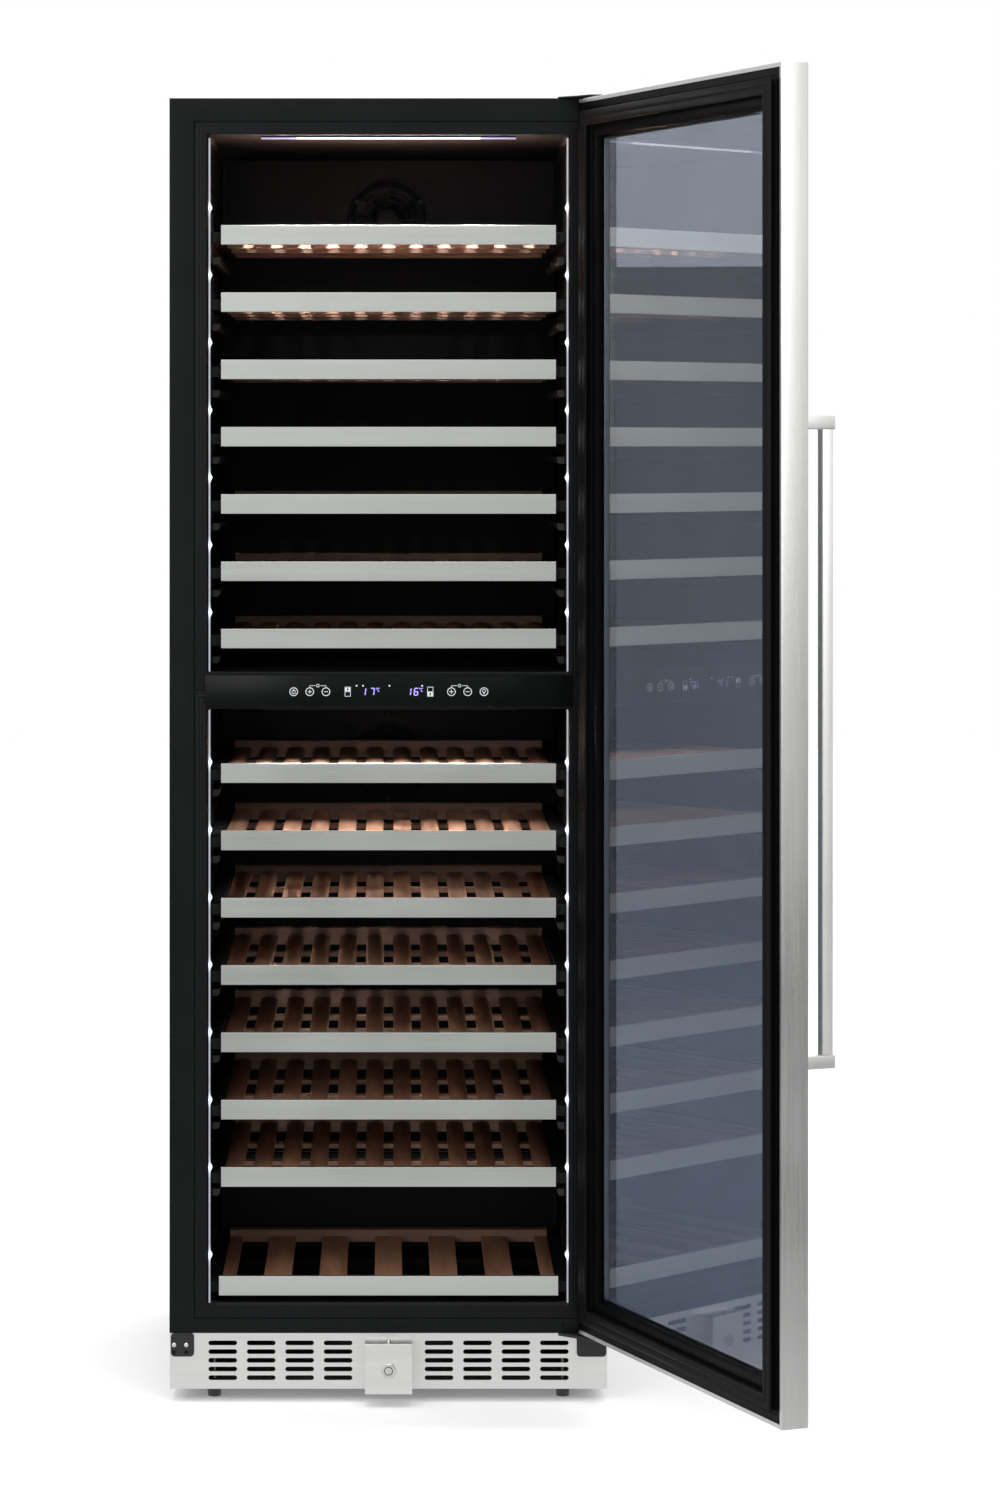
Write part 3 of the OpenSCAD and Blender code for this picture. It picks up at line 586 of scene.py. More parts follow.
def beech(name, light, dark, along, cell=0.03876, shift=0.0):
    """Beech with its grain along one axis and a faint satin lacquer. Each cell of that width across
    has a shade of its own."""
    tree, shader, place = new_finish(name, Coat_Weight=0.12, Coat_Roughness=0.35)
    place = node(tree, "Mapping", {"Vector": place, "Location": (shift, 0, 0)}).outputs[0]
    k = "xyz".index(along)
    stretch = np.full(3, 55.0)
    stretch[k] = 3.5
    board = np.full(3, 0.0917)
    board[0] = cell
    board[k] = 3.0
    grain = use_group(tree, "beech_grain", Vector=place, Along=tuple(stretch), Board=tuple(board),
                      Light=tuple(light) + (1.0,), Dark=tuple(dark) + (1.0,))
    tree.links.new(grain.outputs["Color"], shader.inputs["Base Color"])
    tree.links.new(grain.outputs["Roughness"], shader.inputs["Roughness"])
    raise_bump(tree, shader, grain.outputs["Height"], 0.15, 0.0005)


def lit(name, colour, strength, colour_off):
    """A translucent lens or lit mark: the piece's own glow attribute sets how bright each point is."""
    tree, shader, place = new_finish(name, Roughness=0.35, Emission_Strength=strength)
    glow = node(tree, "Attribute", attribute_name="glow").outputs["Fac"]
    skin = use_group(tree, "moulded_skin", Vector=place, Pebble=500.0)
    tree.links.new(shade_colour(tree, colour_off, skin.outputs["Shade"]), shader.inputs["Base Color"])
    tree.links.new(shade_colour(tree, colour, glow), shader.inputs["Emission Color"])


def make_finishes(colours, light):
    """Builds every group and material once."""
    for build in (build_brushed_group, build_moulded_group, build_dust_group, build_wood_group):
        build()
    steel = tuple(colours.steel)
    brushed_steel("trim_steel", tuple(c * k for c, k in zip(steel, (0.90, 0.925, 0.90))), "x", 0.34)
    brushed_steel("door_steel", steel, "z", 0.30)
    brushed_steel("door_steel_across", steel, "x", 0.30)
    brushed_steel("handle_steel", tuple(c * 1.3 for c in steel), "z", 0.42)
    brushed_steel("post_steel", tuple(c * 1.25 for c in steel), "y", 0.40)
    brushed_steel("kick_steel", tuple(c * 1.12 for c in steel), "x", 0.40, dust=0.08)
    brushed_steel("spacer_steel", steel, "z", 0.35)
    brushed_steel("bright_steel", (0.72, 0.72, 0.70), "z", 0.24)
    brushed_steel("fin_metal", (0.60, 0.56, 0.50), "z", 0.40, dust=0.1)
    moulded("casing_coat", colours.casing, 0.42, 1400.0, 0.10, 0.02, Specular_IOR_Level=0.10)
    moulded("liner_plastic", colours.liner, 0.36, 900.0, 0.08, 0.01, Specular_IOR_Level=0.13)
    moulded("door_liner_plastic", tuple(c * 0.5 for c in colours.liner), 0.34, 900.0, 0.08, 0.0,
            Specular_IOR_Level=0.05)
    moulded("gloss_panel", (0.0030, 0.0036, 0.0036), 0.26, 300.0, 0.01, 0.0, Specular_IOR_Level=0.10)
    moulded("runner_plastic", (0.0060, 0.0065, 0.0070), 0.45, 1200.0, 0.15, 0.02, Specular_IOR_Level=0.2)
    moulded("ledge_plastic", (0.030, 0.032, 0.035), 0.45, 1200.0, 0.15, 0.04)
    moulded("seal_rubber", (0.0030, 0.0032, 0.0035), 0.50, 700.0, 0.12, 0.0, Specular_IOR_Level=0.10)
    moulded("hinge_coat", (0.010, 0.0105, 0.011), 0.36, 900.0, 0.12, 0.04, Specular_IOR_Level=0.4)
    moulded("fan_plastic", (0.0032, 0.0034, 0.0038), 0.42, 900.0, 0.10, 0.01, Specular_IOR_Level=0.12)
    moulded("motor_plastic", (0.020, 0.021, 0.023), 0.48, 900.0, 0.15, 0.10)
    moulded("duct_plastic", (0.0030, 0.0034, 0.0036), 0.45, 1100.0, 0.15, 0.0, Specular_IOR_Level=0.09)
    moulded("foot_plastic", (0.020, 0.020, 0.021), 0.50, 900.0, 0.20, 0.10)
    moulded("tray_coat", (0.022, 0.023, 0.024), 0.50, 900.0, 0.15, 0.12)
    moulded("rear_coat", (0.030, 0.032, 0.033), 0.46, 1400.0, 0.12, 0.06)
    moulded("foam", (0.72, 0.62, 0.34), 0.85, 260.0, 0.5, 0.0)
    moulded("circuit_board", (0.012, 0.075, 0.030), 0.38, 300.0, 0.2, 0.0)
    moulded("compressor_paint", (0.012, 0.012, 0.013), 0.30, 160.0, 0.12, 0.10, Coat_Weight=0.3)
    lit("light_guide", tuple(colours.glow), light.guide, (0.34, 0.35, 0.38))
    lit("light_bar", tuple(colours.glow), 1.5, (0.60, 0.61, 0.64))
    lit("light_bar_end", (0.42, 0.38, 0.95), 0.9, (0.30, 0.30, 0.34))
    lit("display_digits", tuple(colours.digits), 1.7, (0.02, 0.02, 0.03))
    lit("panel_marks", (0.80, 0.82, 0.84), 0.55, (0.40, 0.41, 0.42))
    tinted_glass(tuple(colours.glass))


def tinted_glass(tint):
    """Tinted float glass, a little warmer higher up, with the faintest wipe marks."""
    tree, shader, place = new_finish("tinted_glass", Transmission_Weight=1.0, IOR=1.5,
                                     Specular_IOR_Level=0.5)
    wipe = noise(tree, stretched(tree, place, (3, 3, 1.2)), 2.0, 4.0)
    height = node(tree, "SeparateXYZ", {0: place}).outputs[2]
    warmer = (tint[0] * 1.07, tint[1] * 1.02, tint[2] * 0.94, 1)
    toned = mixed_colour(tree, spread(tree, height, 0.2, 1.6), tuple(tint) + (1,), warmer)
    shade = spread(tree, wipe, 0.3, 0.7, 0.97, 1.03)
    tree.links.new(shade_colour(tree, toned, shade), shader.inputs["Base Color"])
    tree.links.new(spread(tree, wipe, 0.45, 0.8, 0.0, 0.02), shader.inputs["Roughness"])


def paint_node(name, *finishes):
    """Gives a CAD node that stays its procedural materials."""
    mesh = frame["nodes"][name].data
    mesh.materials.clear()
    for finish in finishes:
        mesh.materials.append(FINISH[finish])


# ---------------------------------------------------------------- operators


class CoolerStep(Operator):
    """Base of the building steps: runs build() and reports success."""

    bl_options = {"REGISTER", "UNDO"}

    def execute(self, context):
        scene = context.scene
        self.build(scene.cooler_sizes, scene.cooler_colours, scene.cooler_light)
        return {"FINISHED"}


class COOLER_OT_stage(CoolerStep):
    """Camera, pale floor, soft surround and studio lamps"""

    bl_idname = "cooler.stage"
    bl_label = "Stage"

    def build(self, sizes, colours, light):
        scene = bpy.context.scene
        data = bpy.data.cameras.new("camera")
        data.sensor_width, data.lens = 36.0, 99.0
        data.shift_x, data.shift_y = 0.0743, -0.203
        data.clip_end = 100.0
        camera = bpy.data.objects.new("camera", data)
        camera.location = (0.0, -5.6, 1.2985)
        camera.rotation_euler = (math.radians(90), 0, 0)
        scene.collection.objects.link(camera)
        scene.camera = camera
        scene.view_settings.view_transform = "Standard"
        self.surround(scene, light.studio)
        self.lamps(scene, light)
        self.floor(scene)

    def surround(self, scene, strength):
        """White for what the camera sees directly or through glass, a soft gradient for what lights
        the object."""
        world = bpy.data.worlds.new("surround")
        scene.world = world
        world.use_nodes = True
        tree = world.node_tree
        direction = node(tree, "TexCoord").outputs["Generated"]
        up = node(tree, "SeparateXYZ", {0: direction}).outputs[2]
        ramp = node(tree, "ValToRGB", {0: spread(tree, up, -1.0, 1.0)})
        stops = [(0.0, 0.75), (0.46, 0.85), (0.52, 0.80), (0.62, 0.85), (0.8, 1.0), (1.0, 1.0)]
        while len(ramp.color_ramp.elements) < len(stops):
            ramp.color_ramp.elements.new(0.5)
        for element, (position, value) in zip(ramp.color_ramp.elements, stops):
            element.position, element.color = position, (value, value, value * 1.01, 1)
        path = node(tree, "LightPath")
        seen = maths(tree, "MAXIMUM", path.outputs["Is Camera Ray"], path.outputs["Is Transmission Ray"])
        mixed = mixed_colour(tree, seen, ramp.outputs[0], (1, 1, 1, 1))
        background = next(n for n in tree.nodes if n.type == "BACKGROUND")
        tree.links.new(mixed, background.inputs[0])
        background.inputs[1].default_value = strength

    def lamps(self, scene, light):
        """Two big front softboxes, one above, and a narrow lamp under each light bar."""
        lamps = [
            ("front_left", (-2.6, -3.8, 2.1), (0, 0, 0.9), (1.6, 2.6), light.front),
            ("front_right", (2.1, -2.6, 1.95), (0.4, -0.4, 1.3), (1.2, 1.7), light.front * 0.34),
            ("overhead", (0.0, -1.2, 4.2), (0, 0.1, 1.0), (2.4, 1.8), light.front * 0.9),
            ("behind", (0.4, 3.6, 2.6), (0, 0.6, 1.0), (2.4, 2.0), light.front * 0.6),
        ]
        for name, place, aim, size, power in lamps:
            self.lamp(scene, name, place, aim, size, power)
        for name, roof, share in (("upper_bar_lamp", OPEN_TOP, 1), ("lower_bar_lamp", LOWER_ROOF, 0.5)):
            place = np.array([0, GUIDE_HIGH[1] - 6, roof - 5.2]) * MM
            self.lamp(scene, name, place, place + (0, 0.45, -1), (0.34, 0.008), light.bar * share,
                      tuple(scene.cooler_colours.glow), 90)

    def lamp(self, scene, name, place, aim, size, power, colour=(1, 1, 1), spread_angle=180):
        data = bpy.data.lights.new(name, "AREA")
        data.shape, data.size, data.size_y, data.energy = "RECTANGLE", size[0], size[1], power
        data.color, data.spread = colour, math.radians(spread_angle)
        lamp = bpy.data.objects.new(name, data)
        lamp.location = place
        way = Vector(aim) - Vector(place)
        lamp.rotation_euler = way.to_track_quat("-Z", "Y").to_euler()
        scene.collection.objects.link(lamp)

    def floor(self, scene):
        """A flat pale sheet with a soft, uneven tone. To mirror-like rays it darkens with its distance
        r = |(x, y)|, as a lit sweep in a dark room does."""
        reach = np.linspace(-12, 12, 13)
        x, y = np.meshgrid(reach, reach)
        points = np.stack([x, y, np.full_like(x, -0.0005)], -1) / MM
        shape = Shape()
        shape.grid(points, wrap=False, caps=False)
        mesh = bpy.data.meshes.new("floor")
        mesh.from_pydata(np.concatenate(shape.points) * MM, [], shape.faces[0].tolist())
        floor = bpy.data.objects.new("floor", mesh)
        scene.collection.objects.link(floor)
        tree, shader, place = new_finish("pale_floor", Roughness=0.6, Specular_IOR_Level=0.2,
                                         Emission_Strength=0.16, Emission_Color=(1, 1, 1, 1))
        tone = noise(tree, place, 3.0, 4.0)
        tree.links.new(shade_colour(tree, (0.93, 0.93, 0.935), spread(tree, tone, 0.3, 0.7, 0.985, 1.0)),
                       shader.inputs["Base Color"])
        reach = node(tree, "VectorMath", {0: place}, operation="LENGTH").outputs["Value"]
        kept = spread(tree, reach, 0.7, 2.8, 1.0, 0.26)
        path = node(tree, "LightPath")
        glossy = maths(tree, "SUBTRACT", path.outputs["Is Glossy Ray"],
                       path.outputs["Is Transmission Ray"], True)
        dark = node(tree, "Emission", {0: (0.8, 0.8, 0.81, 1), 1: kept})
        out = next(n for n in tree.nodes if n.type == "OUTPUT_MATERIAL")
        seen = node(tree, "MixShader", {0: glossy, 1: shader.outputs[0], 2: dark.outputs[0]})
        tree.links.new(seen.outputs[0], out.inputs[0])
        mesh.materials.append(FINISH["pale_floor"])


class COOLER_OT_casing(CoolerStep):
    """Folded steel casing, front band and back panel"""

    bl_idname = "cooler.casing"
    bl_label = "Casing"

    def build(self, sizes, colours, light):
        low, high = CASE_LOW, CASE_HIGH
        outer = rounded(low[0], low[2] - 9, high[0], high[2], 3.0)[:10]
        outer = np.vstack([(high[0], low[2]), outer, (low[0], low[2])])
        middle = np.array([0, low[2]])
        inner = (outer - middle) * ((HALF_W - SHEET_T) / HALF_W, 1) + middle
        inner[1:-1, 1] -= SHEET_T
        outline = np.vstack([outer, inner[::-1]])
        shell = Shape()
        shell.grid(carried(outline, "y", (low[1], low[1] + 1, high[1] - 1, high[1])))
        make_piece("casing", shell, "cabinet", ["casing_coat"], ["cabinet_shell"],
                   bevel=0.4)
        band = Shape()
        gap = HALF_W - 33.4
        section = [(0, 2), (0, 0.5), (0.02, 0.1), (0.04, 0), (0.95, 0), (0.985, 0.25), (1, 0.8), (1, 2)]
        band.grid(framed(section, ((-HALF_W, low[2]), (HALF_W, high[2])),
                         ((-gap, OPEN_SILL - 17.6), (gap, OPEN_TOP + 17.6))), ring=True)
        behind = [(0, 2.1), (1, 2.1), (1, 2.7), (0, 2.7)]
        band.grid(framed(behind, ((-gap - 3, OPEN_SILL - 20.6), (gap + 3, OPEN_TOP + 20.6)),
                         ((-gap + 3, OPEN_SILL - 14.6), (gap - 3, OPEN_TOP + 14.6))), ring=True)
        for side in (-1, 1):
            x0, x1 = sorted((side * (OPEN_X + 3), side * (OPEN_X + 15)))
            band.bar((x0, 2.1, PANEL_MID - 3), (x1, 2.7, PANEL_MID + 3))
        make_piece("front_band", band, "cabinet", ["casing_coat"], ["front_frame"])
        self.back_panel()

    def back_panel(self):
        """Flat sheet with two columns of pressed vents and the hole for the mains bush."""
        low, high = COVER_LOW, COVER_HIGH
        foam_seam, vent_length, vent_height = 2.4, 90, 5
        a = [low[0], -220, -180, -115, -15, 15, 115, high[0]]
        vents = 105.5 + 14 * np.arange(10)
        b = [low[2], 44, 84, *vents, 300, 900, 1500, high[2] + foam_seam]
        holes = {(1, 1): circle(-200, 64, 11.2)}
        for j in range(9):
            for i, x in ((3, -65), (5, 65)):
                holes[(i, j + 3)] = stadium(x, vents[j] + 7, vent_length, vent_height)
        back = Shape()
        back.plate("y", high[1], a, b, holes, flip=True)
        make_sheet("back_panel", back, "rear_coat", ["rear_cover"], 0.35)


class COOLER_OT_liners(CoolerStep):
    """Two moulded inner liners with their ridged front flange"""

    bl_idname = "cooler.liners"
    bl_label = "Liners"

    def build(self, sizes, colours, light):
        upper = [(LINER_T, OPEN_TOP), (BACK_Y, OPEN_TOP), (BACK_Y, UPPER_FLOOR), (LINER_T, UPPER_FLOOR)]
        lower = [(LINER_T, LOWER_ROOF), (BACK_Y, LOWER_ROOF), (BACK_Y, STEP_Z), (STEP_Y, STEP_Z),
                 (STEP_Y, OPEN_SILL), (LINER_T, OPEN_SILL)]
        tubs = Shape()
        for outline in (upper, lower):
            index = np.arange(2 * len(outline)).reshape(2, -1)
            quads = np.stack([index[0, :-1], index[0, 1:], index[1, 1:], index[1, :-1]], -1)
            points = carried(outline, "x", (-OPEN_X, OPEN_X))
            tubs.add(points, [quads, index[:1, ::-1], index[1:]])
        make_piece("inner_liners", tubs, "cabinet", ["liner_plastic"], ["liners"],
                   bevel=sizes.liner_round / MM, segments=3, sheet=LINER_T, outward=False,
                   early_bevel=True, crease=60)
        flange = Shape()
        ridges = [(0, 2), (0, 0.7), (0.03, 0.1)]
        for t in (0.12, 0.40, 0.66):
            ridges += [(t, 0.1), (t + 0.03, 0.3), (t + 0.06, 0.1)]
        ridges += [(0.93, 0.1), (1, 0.6), (1, 2)]
        outer_x = OPEN_X + FLANGE
        for low, high, sill, roof in ((PANEL_MID + 0.3, OPEN_TOP + FLANGE, UPPER_FLOOR, OPEN_TOP),
                                      (OPEN_SILL - FLANGE, PANEL_MID - 0.3, OPEN_SILL, LOWER_ROOF)):
            flange.grid(framed(ridges, ((-outer_x, low), (outer_x, high)),
                               ((-OPEN_X, sill), (OPEN_X, roof))), ring=True)
        make_piece("liner_flanges", flange, "cabinet", ["liner_plastic"])


class COOLER_OT_ducts(CoolerStep):
    """Inner back walls with their fan grilles, and the fans behind them"""

    bl_idname = "cooler.ducts"
    bl_label = "Back walls and fans"

    def build(self, sizes, colours, light):
        fan_r, hub_r, cell = 57, 19, 72
        walls = Shape()
        grilles = Shape()
        zones = ((UPPER_FLOOR + 1, OPEN_TOP - 1, "fan_upper"), (STEP_Z + 1, LOWER_ROOF - 1, "fan_lower"))
        for low, high, fan in zones:
            z = FAN_Z[fan]
            a = [DUCT_LOW[0], -cell, cell, DUCT_HIGH[0]]
            walls.plate("y", DUCT_LOW[1], a, [low, z - cell, z + cell, high],
                        {(1, 1): circle(0, z, fan_r, 16)}, side=16)
            centre = (0, DUCT_LOW[1], z)
            rim = [(fan_r - 0.5, 0.4), (fan_r + 0.4, -1.2), (fan_r + 2.2, -1.2), (fan_r + 3.4, 0.1),
                   (fan_r + 3.4, 0.6), (fan_r - 0.5, 1.8)]
            grilles.grid(turned(rim, centre, "y", 64), ring=True)
            for r in (28, 37.5, 47):
                wire = [(r - 1, 0.2), (r - 0.5, -0.1), (r + 0.5, -0.1), (r + 1, 0.2), (r + 1, 1.9),
                        (r - 1, 1.9)]
                grilles.grid(turned(wire, centre, "y", 56), ring=True)
            hub = [(hub_r, 2), (hub_r, 0.4), (hub_r - 1.2, -0.5), (hub_r - 7, -0.9), (1, -1.1)]
            grilles.grid(turned(hub, centre, "y", 40))
            for k in range(8):
                turn = k * math.pi / 4
                c, s = math.cos(turn), math.sin(turn)
                spoke = stroke(hub_r * c, z + hub_r * s, (fan_r + 0.3) * c, z + (fan_r + 0.3) * s, 2)
                grilles.grid(carried(spoke, "y", (DUCT_LOW[1] + 0.5, DUCT_LOW[1] + 2)))
            self.fan(fan, z, sizes.fan_blades)
        make_sheet("duct_walls", walls, "duct_plastic", ["duct_covers"], 0.4, 2.0)
        make_piece("fan_grilles", grilles, "cabinet", ["fan_plastic"])

    def fan(self, name, z, blades):
        """Hub as a turned profile. Each blade is a sheet of radius r and chord c: its angle is c times
        half the chord plus a backward sweep, and its depth c times the pitch, which falls from root to
        tip."""
        low, high = FANS[name]
        y0, y1 = low[1], high[1]
        rotor = Shape()
        centre = (0, 0, z)
        hub = [(2.5, y1), (17, y1), (17, y0 + 1.6), (15.4, y0 + 0.2), (9, y0), (1, y0)]
        rotor.grid(turned(hub, centre, "y", 40))
        root, tip = 16.2, 50.6
        r = np.linspace(root, tip, 8)[:, None]
        c = np.linspace(-1, 1, 9)[None, :]
        share = (r - root) / (tip - root)
        half = (13 + 7 * share) / r
        depth = (6.2 - 2.2 * share) * c + 0.8 * c * c * np.ones_like(r)
        for k in range(blades):
            angle = k * math.tau / blades + c * half + 0.30 * share ** 1.4
            face = np.stack([r * np.cos(angle), (y0 + y1) / 2 + depth, z + r * np.sin(angle)], -1)
            edge = 1.2 * (1 - np.abs(c) ** 4 * 0.7) * np.ones_like(r)
            back = face + np.stack([np.zeros_like(edge), edge, np.zeros_like(edge)], -1)
            rotor.grid(np.concatenate([face, back[:, ::-1]], 1))
        body = "upper_fan" if name == "fan_upper" else "lower_fan"
        make_piece(name.replace("fan_", "") + "_fan_rotor", rotor, body, ["fan_plastic"], [name])
        paint_node("fan_motors", "motor_plastic")


class COOLER_OT_lights(CoolerStep):
    """Upright light guides with a lens at every shelf, and a light bar under each ceiling"""

    bl_idname = "cooler.lights"
    bl_label = "Lights"

    def build(self, sizes, colours, light):
        guides = Shape()
        y0, y1 = GUIDE_LOW[1], GUIDE_LOW[1] + 10
        x_out, x_in = OPEN_X - 1.9, OPEN_X - 4.3
        tops = np.array([TRIMS[n][1][2] for n in range(SHELVES)])
        lower_lenses = np.append(tops[UPPER_SHELVES:-1] + 2.5, tops[-1] + 32)
        zones = ((UPPER_FLOOR + 1, OPEN_TOP - 5, tops[:UPPER_SHELVES] + 23),
                 (OPEN_SILL + 3, LOWER_ROOF - 1, lower_lenses))
        outline = rounded(x_in, y0, x_out, y1, 1.8, 3)
        for low, high, lens in zones:
            z = np.unique(np.r_[np.arange(low, high, 8.0), high,
                                (lens[:, None] + np.linspace(-7, 7, 8)).ravel()])
            z = z[(z >= low) & (z <= high)]
            swell = np.exp(-((z[:, None] - lens[None]) / 3.6) ** 2).sum(1)
            for side in (-1, 1):
                rows = carried(outline, "z", z)
                inward = (x_out - rows[..., 0]) / (x_out - x_in)
                rows[..., 0] -= inward * swell[:, None] * 2.4
                rows[..., 0] *= side
                glow = 0.10 + 1.1 * np.exp(-((z[:, None] - lens[None]) / 5.5) ** 2).sum(1)
                guides.grid(rows, glow=np.repeat(glow, rows.shape[1]))
        make_piece("light_guides", guides, "cabinet", ["light_guide"], ["light_strips"])
        self.light_bars()

    def light_bars(self):
        """A lens carried along X in a dark housing: the upper one shows its front, and its ends are
        dimmer and bluer than its middle; the lower one shows only its underside."""
        bars = Shape()
        y1 = GUIDE_HIGH[1]
        y0 = y1 - 12
        half, bright = 174, 126
        x = np.linspace(-half, half, 30)
        roof = OPEN_TOP
        bars.bar((-half, y0, roof - 2.0), (half, y1, roof - 0.3), finish=1)
        upper = [(y0 + 0.2, roof - 2.0), (y0 + 0.2, roof - 2.8), (y0 + 1.4, roof - 3.8),
                 (y1 - 1, roof - 3.8), (y1 - 1, roof - 2.0)]
        for part, finish in ((x[x <= -bright], 2), (x[np.abs(x) <= bright], 0), (x[x >= bright], 2)):
            ends = 1.0 if finish == 0 else 0.45 + 0.55 * np.clip((176 - np.abs(part)) / 50, 0, 1)
            shine = np.repeat(np.broadcast_to(ends, part.shape), len(upper))
            bars.grid(carried(upper, "x", part), glow=shine, finish=finish)
        roof = LOWER_ROOF
        bars.bar((-half, y0, roof - 3.8), (half, y0 + 2, roof - 0.3), finish=1)
        bars.bar((2 - half, y0 + 2.2, roof - 3.4), (half - 2, y1, roof - 0.3))
        make_piece("light_bars", bars, "cabinet", ["light_bar", "liner_plastic", "light_bar_end"])


class COOLER_OT_control_panel(CoolerStep):
    """Glossy control panel with touch marks and two lit temperatures"""

    bl_idname = "cooler.control_panel"
    bl_label = "Control panel"
    segments = {"1": "bc", "6": "acdefg", "7": "abc", "C": "adef"}

    def build(self, sizes, colours, light):
        low, high = PANEL_LOW, PANEL_HIGH
        panel = Shape()
        front, back = low[1], -0.3
        soft = 1.3
        section = [(front + soft, low[2]), (front + 0.3, low[2] + 0.4), (front, low[2] + soft),
                   (front, high[2] - soft), (front + 0.3, high[2] - 0.4), (front + soft, high[2]),
                   (back, high[2]), (back, low[2])]
        x0, x1 = low[0], high[0]
        rows = carried(section, "x", (x0, x0 + 0.5, x1 - 0.5, x1))
        rows[[0, -1], 2:4, 1] += 0.5
        panel.grid(rows)
        body_x = OPEN_X - 0.5
        panel.bar((-body_x, -0.3, low[2] + 0.5), (body_x, high[1], high[2] - 0.5), finish=1)
        make_piece("control_panel_face", panel, "cabinet", ["gloss_panel", "liner_plastic"],
                   ["control_panel"])
        self.marks(PANEL_MID - 1.0, front)
        paint_node("control_board", "circuit_board")

    def marks(self, z, front):
        """Round touch keys joined by brackets, a two-zone sign on each side, and the digits."""
        marks, digits = Shape(), Shape()
        depth = (front - 0.12, front + 0.2)
        lock_x, lamp_x = -128.7, 129.5
        pairs = ((-106.9, -84.9), (85.3, 107.4))

        def line(shape, *ends, width=0.8, glow=1.0):
            shape.grid(carried(stroke(*ends, width), "y", depth), glow=glow)

        def ring(shape, x, y, r, width, glow=1.0, steps=36):
            inner, outer = r - width / 2, r + width / 2
            section = [(inner, depth[0]), (outer, depth[0]), (outer, depth[1]), (inner, depth[1])]
            shape.grid(turned(section, (x, 0, y), "y", steps), ring=True, glow=glow)

        for x in (lock_x, *pairs[0], *pairs[1], lamp_x):
            ring(marks, x, z, 5.3, 0.9)
        ring(marks, lock_x, z - 0.3, 2.4, 0.7)
        line(marks, lock_x, z + 0.4, lock_x, z + 3.4)
        for x0, x1 in pairs:
            line(marks, x0, z - 2.7, x0, z + 2.7)
            mid, brace = (x0 + x1) / 2, z + 8.2
            for x in (x0, x1):
                line(marks, x - 2.7, z, x + 2.7, z)
                line(marks, x, z + 5.7, x, brace, width=0.6)
            line(marks, x0, brace, mid - 3.4, brace, width=0.6)
            line(marks, mid + 3.4, brace, x1, brace, width=0.6)
            ring(marks, mid, brace, 1.9, 0.7, steps=20)
        ring(marks, lamp_x, z + 0.9, 2.1, 0.7, steps=24)
        for dz in (-2.0, -3.1):
            line(marks, lamp_x - 1, z + dz, lamp_x + 1, z + dz, width=0.6)
        for x, lit_half in ((-55.4, 1), (56.6, -1)):
            for side in (-1, 1):
                line(marks, x + side * 3.7, z - 6.2, x + side * 3.7, z + 6.2, width=0.6)
            for dz in (-6.2, 0, 6.2):
                line(marks, x - 4, z + dz, x + 4, z + dz, width=0.6)
            middle = z + lit_half * 3.1
            line(marks, x - 3.1, middle, x + 3.1, middle, width=4.4, glow=1.2)
            dot = [(1.5, depth[0] - 0.05), (1.5, depth[1]), (0.2, depth[1]), (0.2, depth[0] - 0.05)]
            marks.grid(turned(dot, (x, 0, middle), "y", 20), ring=True, finish=1)
        for x in (-43.4, -34.6, 1.2, 45.6):
            ring(marks, x, z + 8, 0.6, 1.0, glow=1.3, steps=12)
        for one, second, figure, degree in ((-31.3, -24.6, "7", -16.2), (30.2, 35.0, "6", 42.6)):
            for sign, x, width in (("1", one, 0.0), (figure, second, 4.9)):
                self.figure(digits, sign, x, z, width, 9.2, 1.35, line)
            ring(digits, degree, z + 4.2, 0.9, 0.5, steps=16)
            self.figure(digits, "C", degree + 1.9, z + 2.6, 2.4, 4.4, 0.8, line)
        make_piece("panel_marks", marks, "cabinet", ["panel_marks", "gloss_panel"])
        make_piece("panel_digits", digits, "cabinet", ["display_digits"])

    def figure(self, shape, figure, x, z, width, height, weight, line):
        """A seven-segment figure that leans a little: each segment is a short straight mark."""
        h, lean, trim = height / 2, 0.12, 0.3
        ends = {
            "a": (0, h, width, h), "b": (width, h, width, 0), "c": (width, 0, width, -h),
            "d": (0, -h, width, -h), "e": (0, 0, 0, -h), "f": (0, h, 0, 0), "g": (0, 0, width, 0),
        }
        for key in self.segments[figure]:
            x0, z0, x1, z1 = ends[key]
            cut = np.sign([x1 - x0, z1 - z0]) * trim
            line(shape, x + x0 + cut[0] + lean * z0, z + z0 + cut[1], x + x1 - cut[0] + lean * z1,
                 z + z1 - cut[1], width=weight)


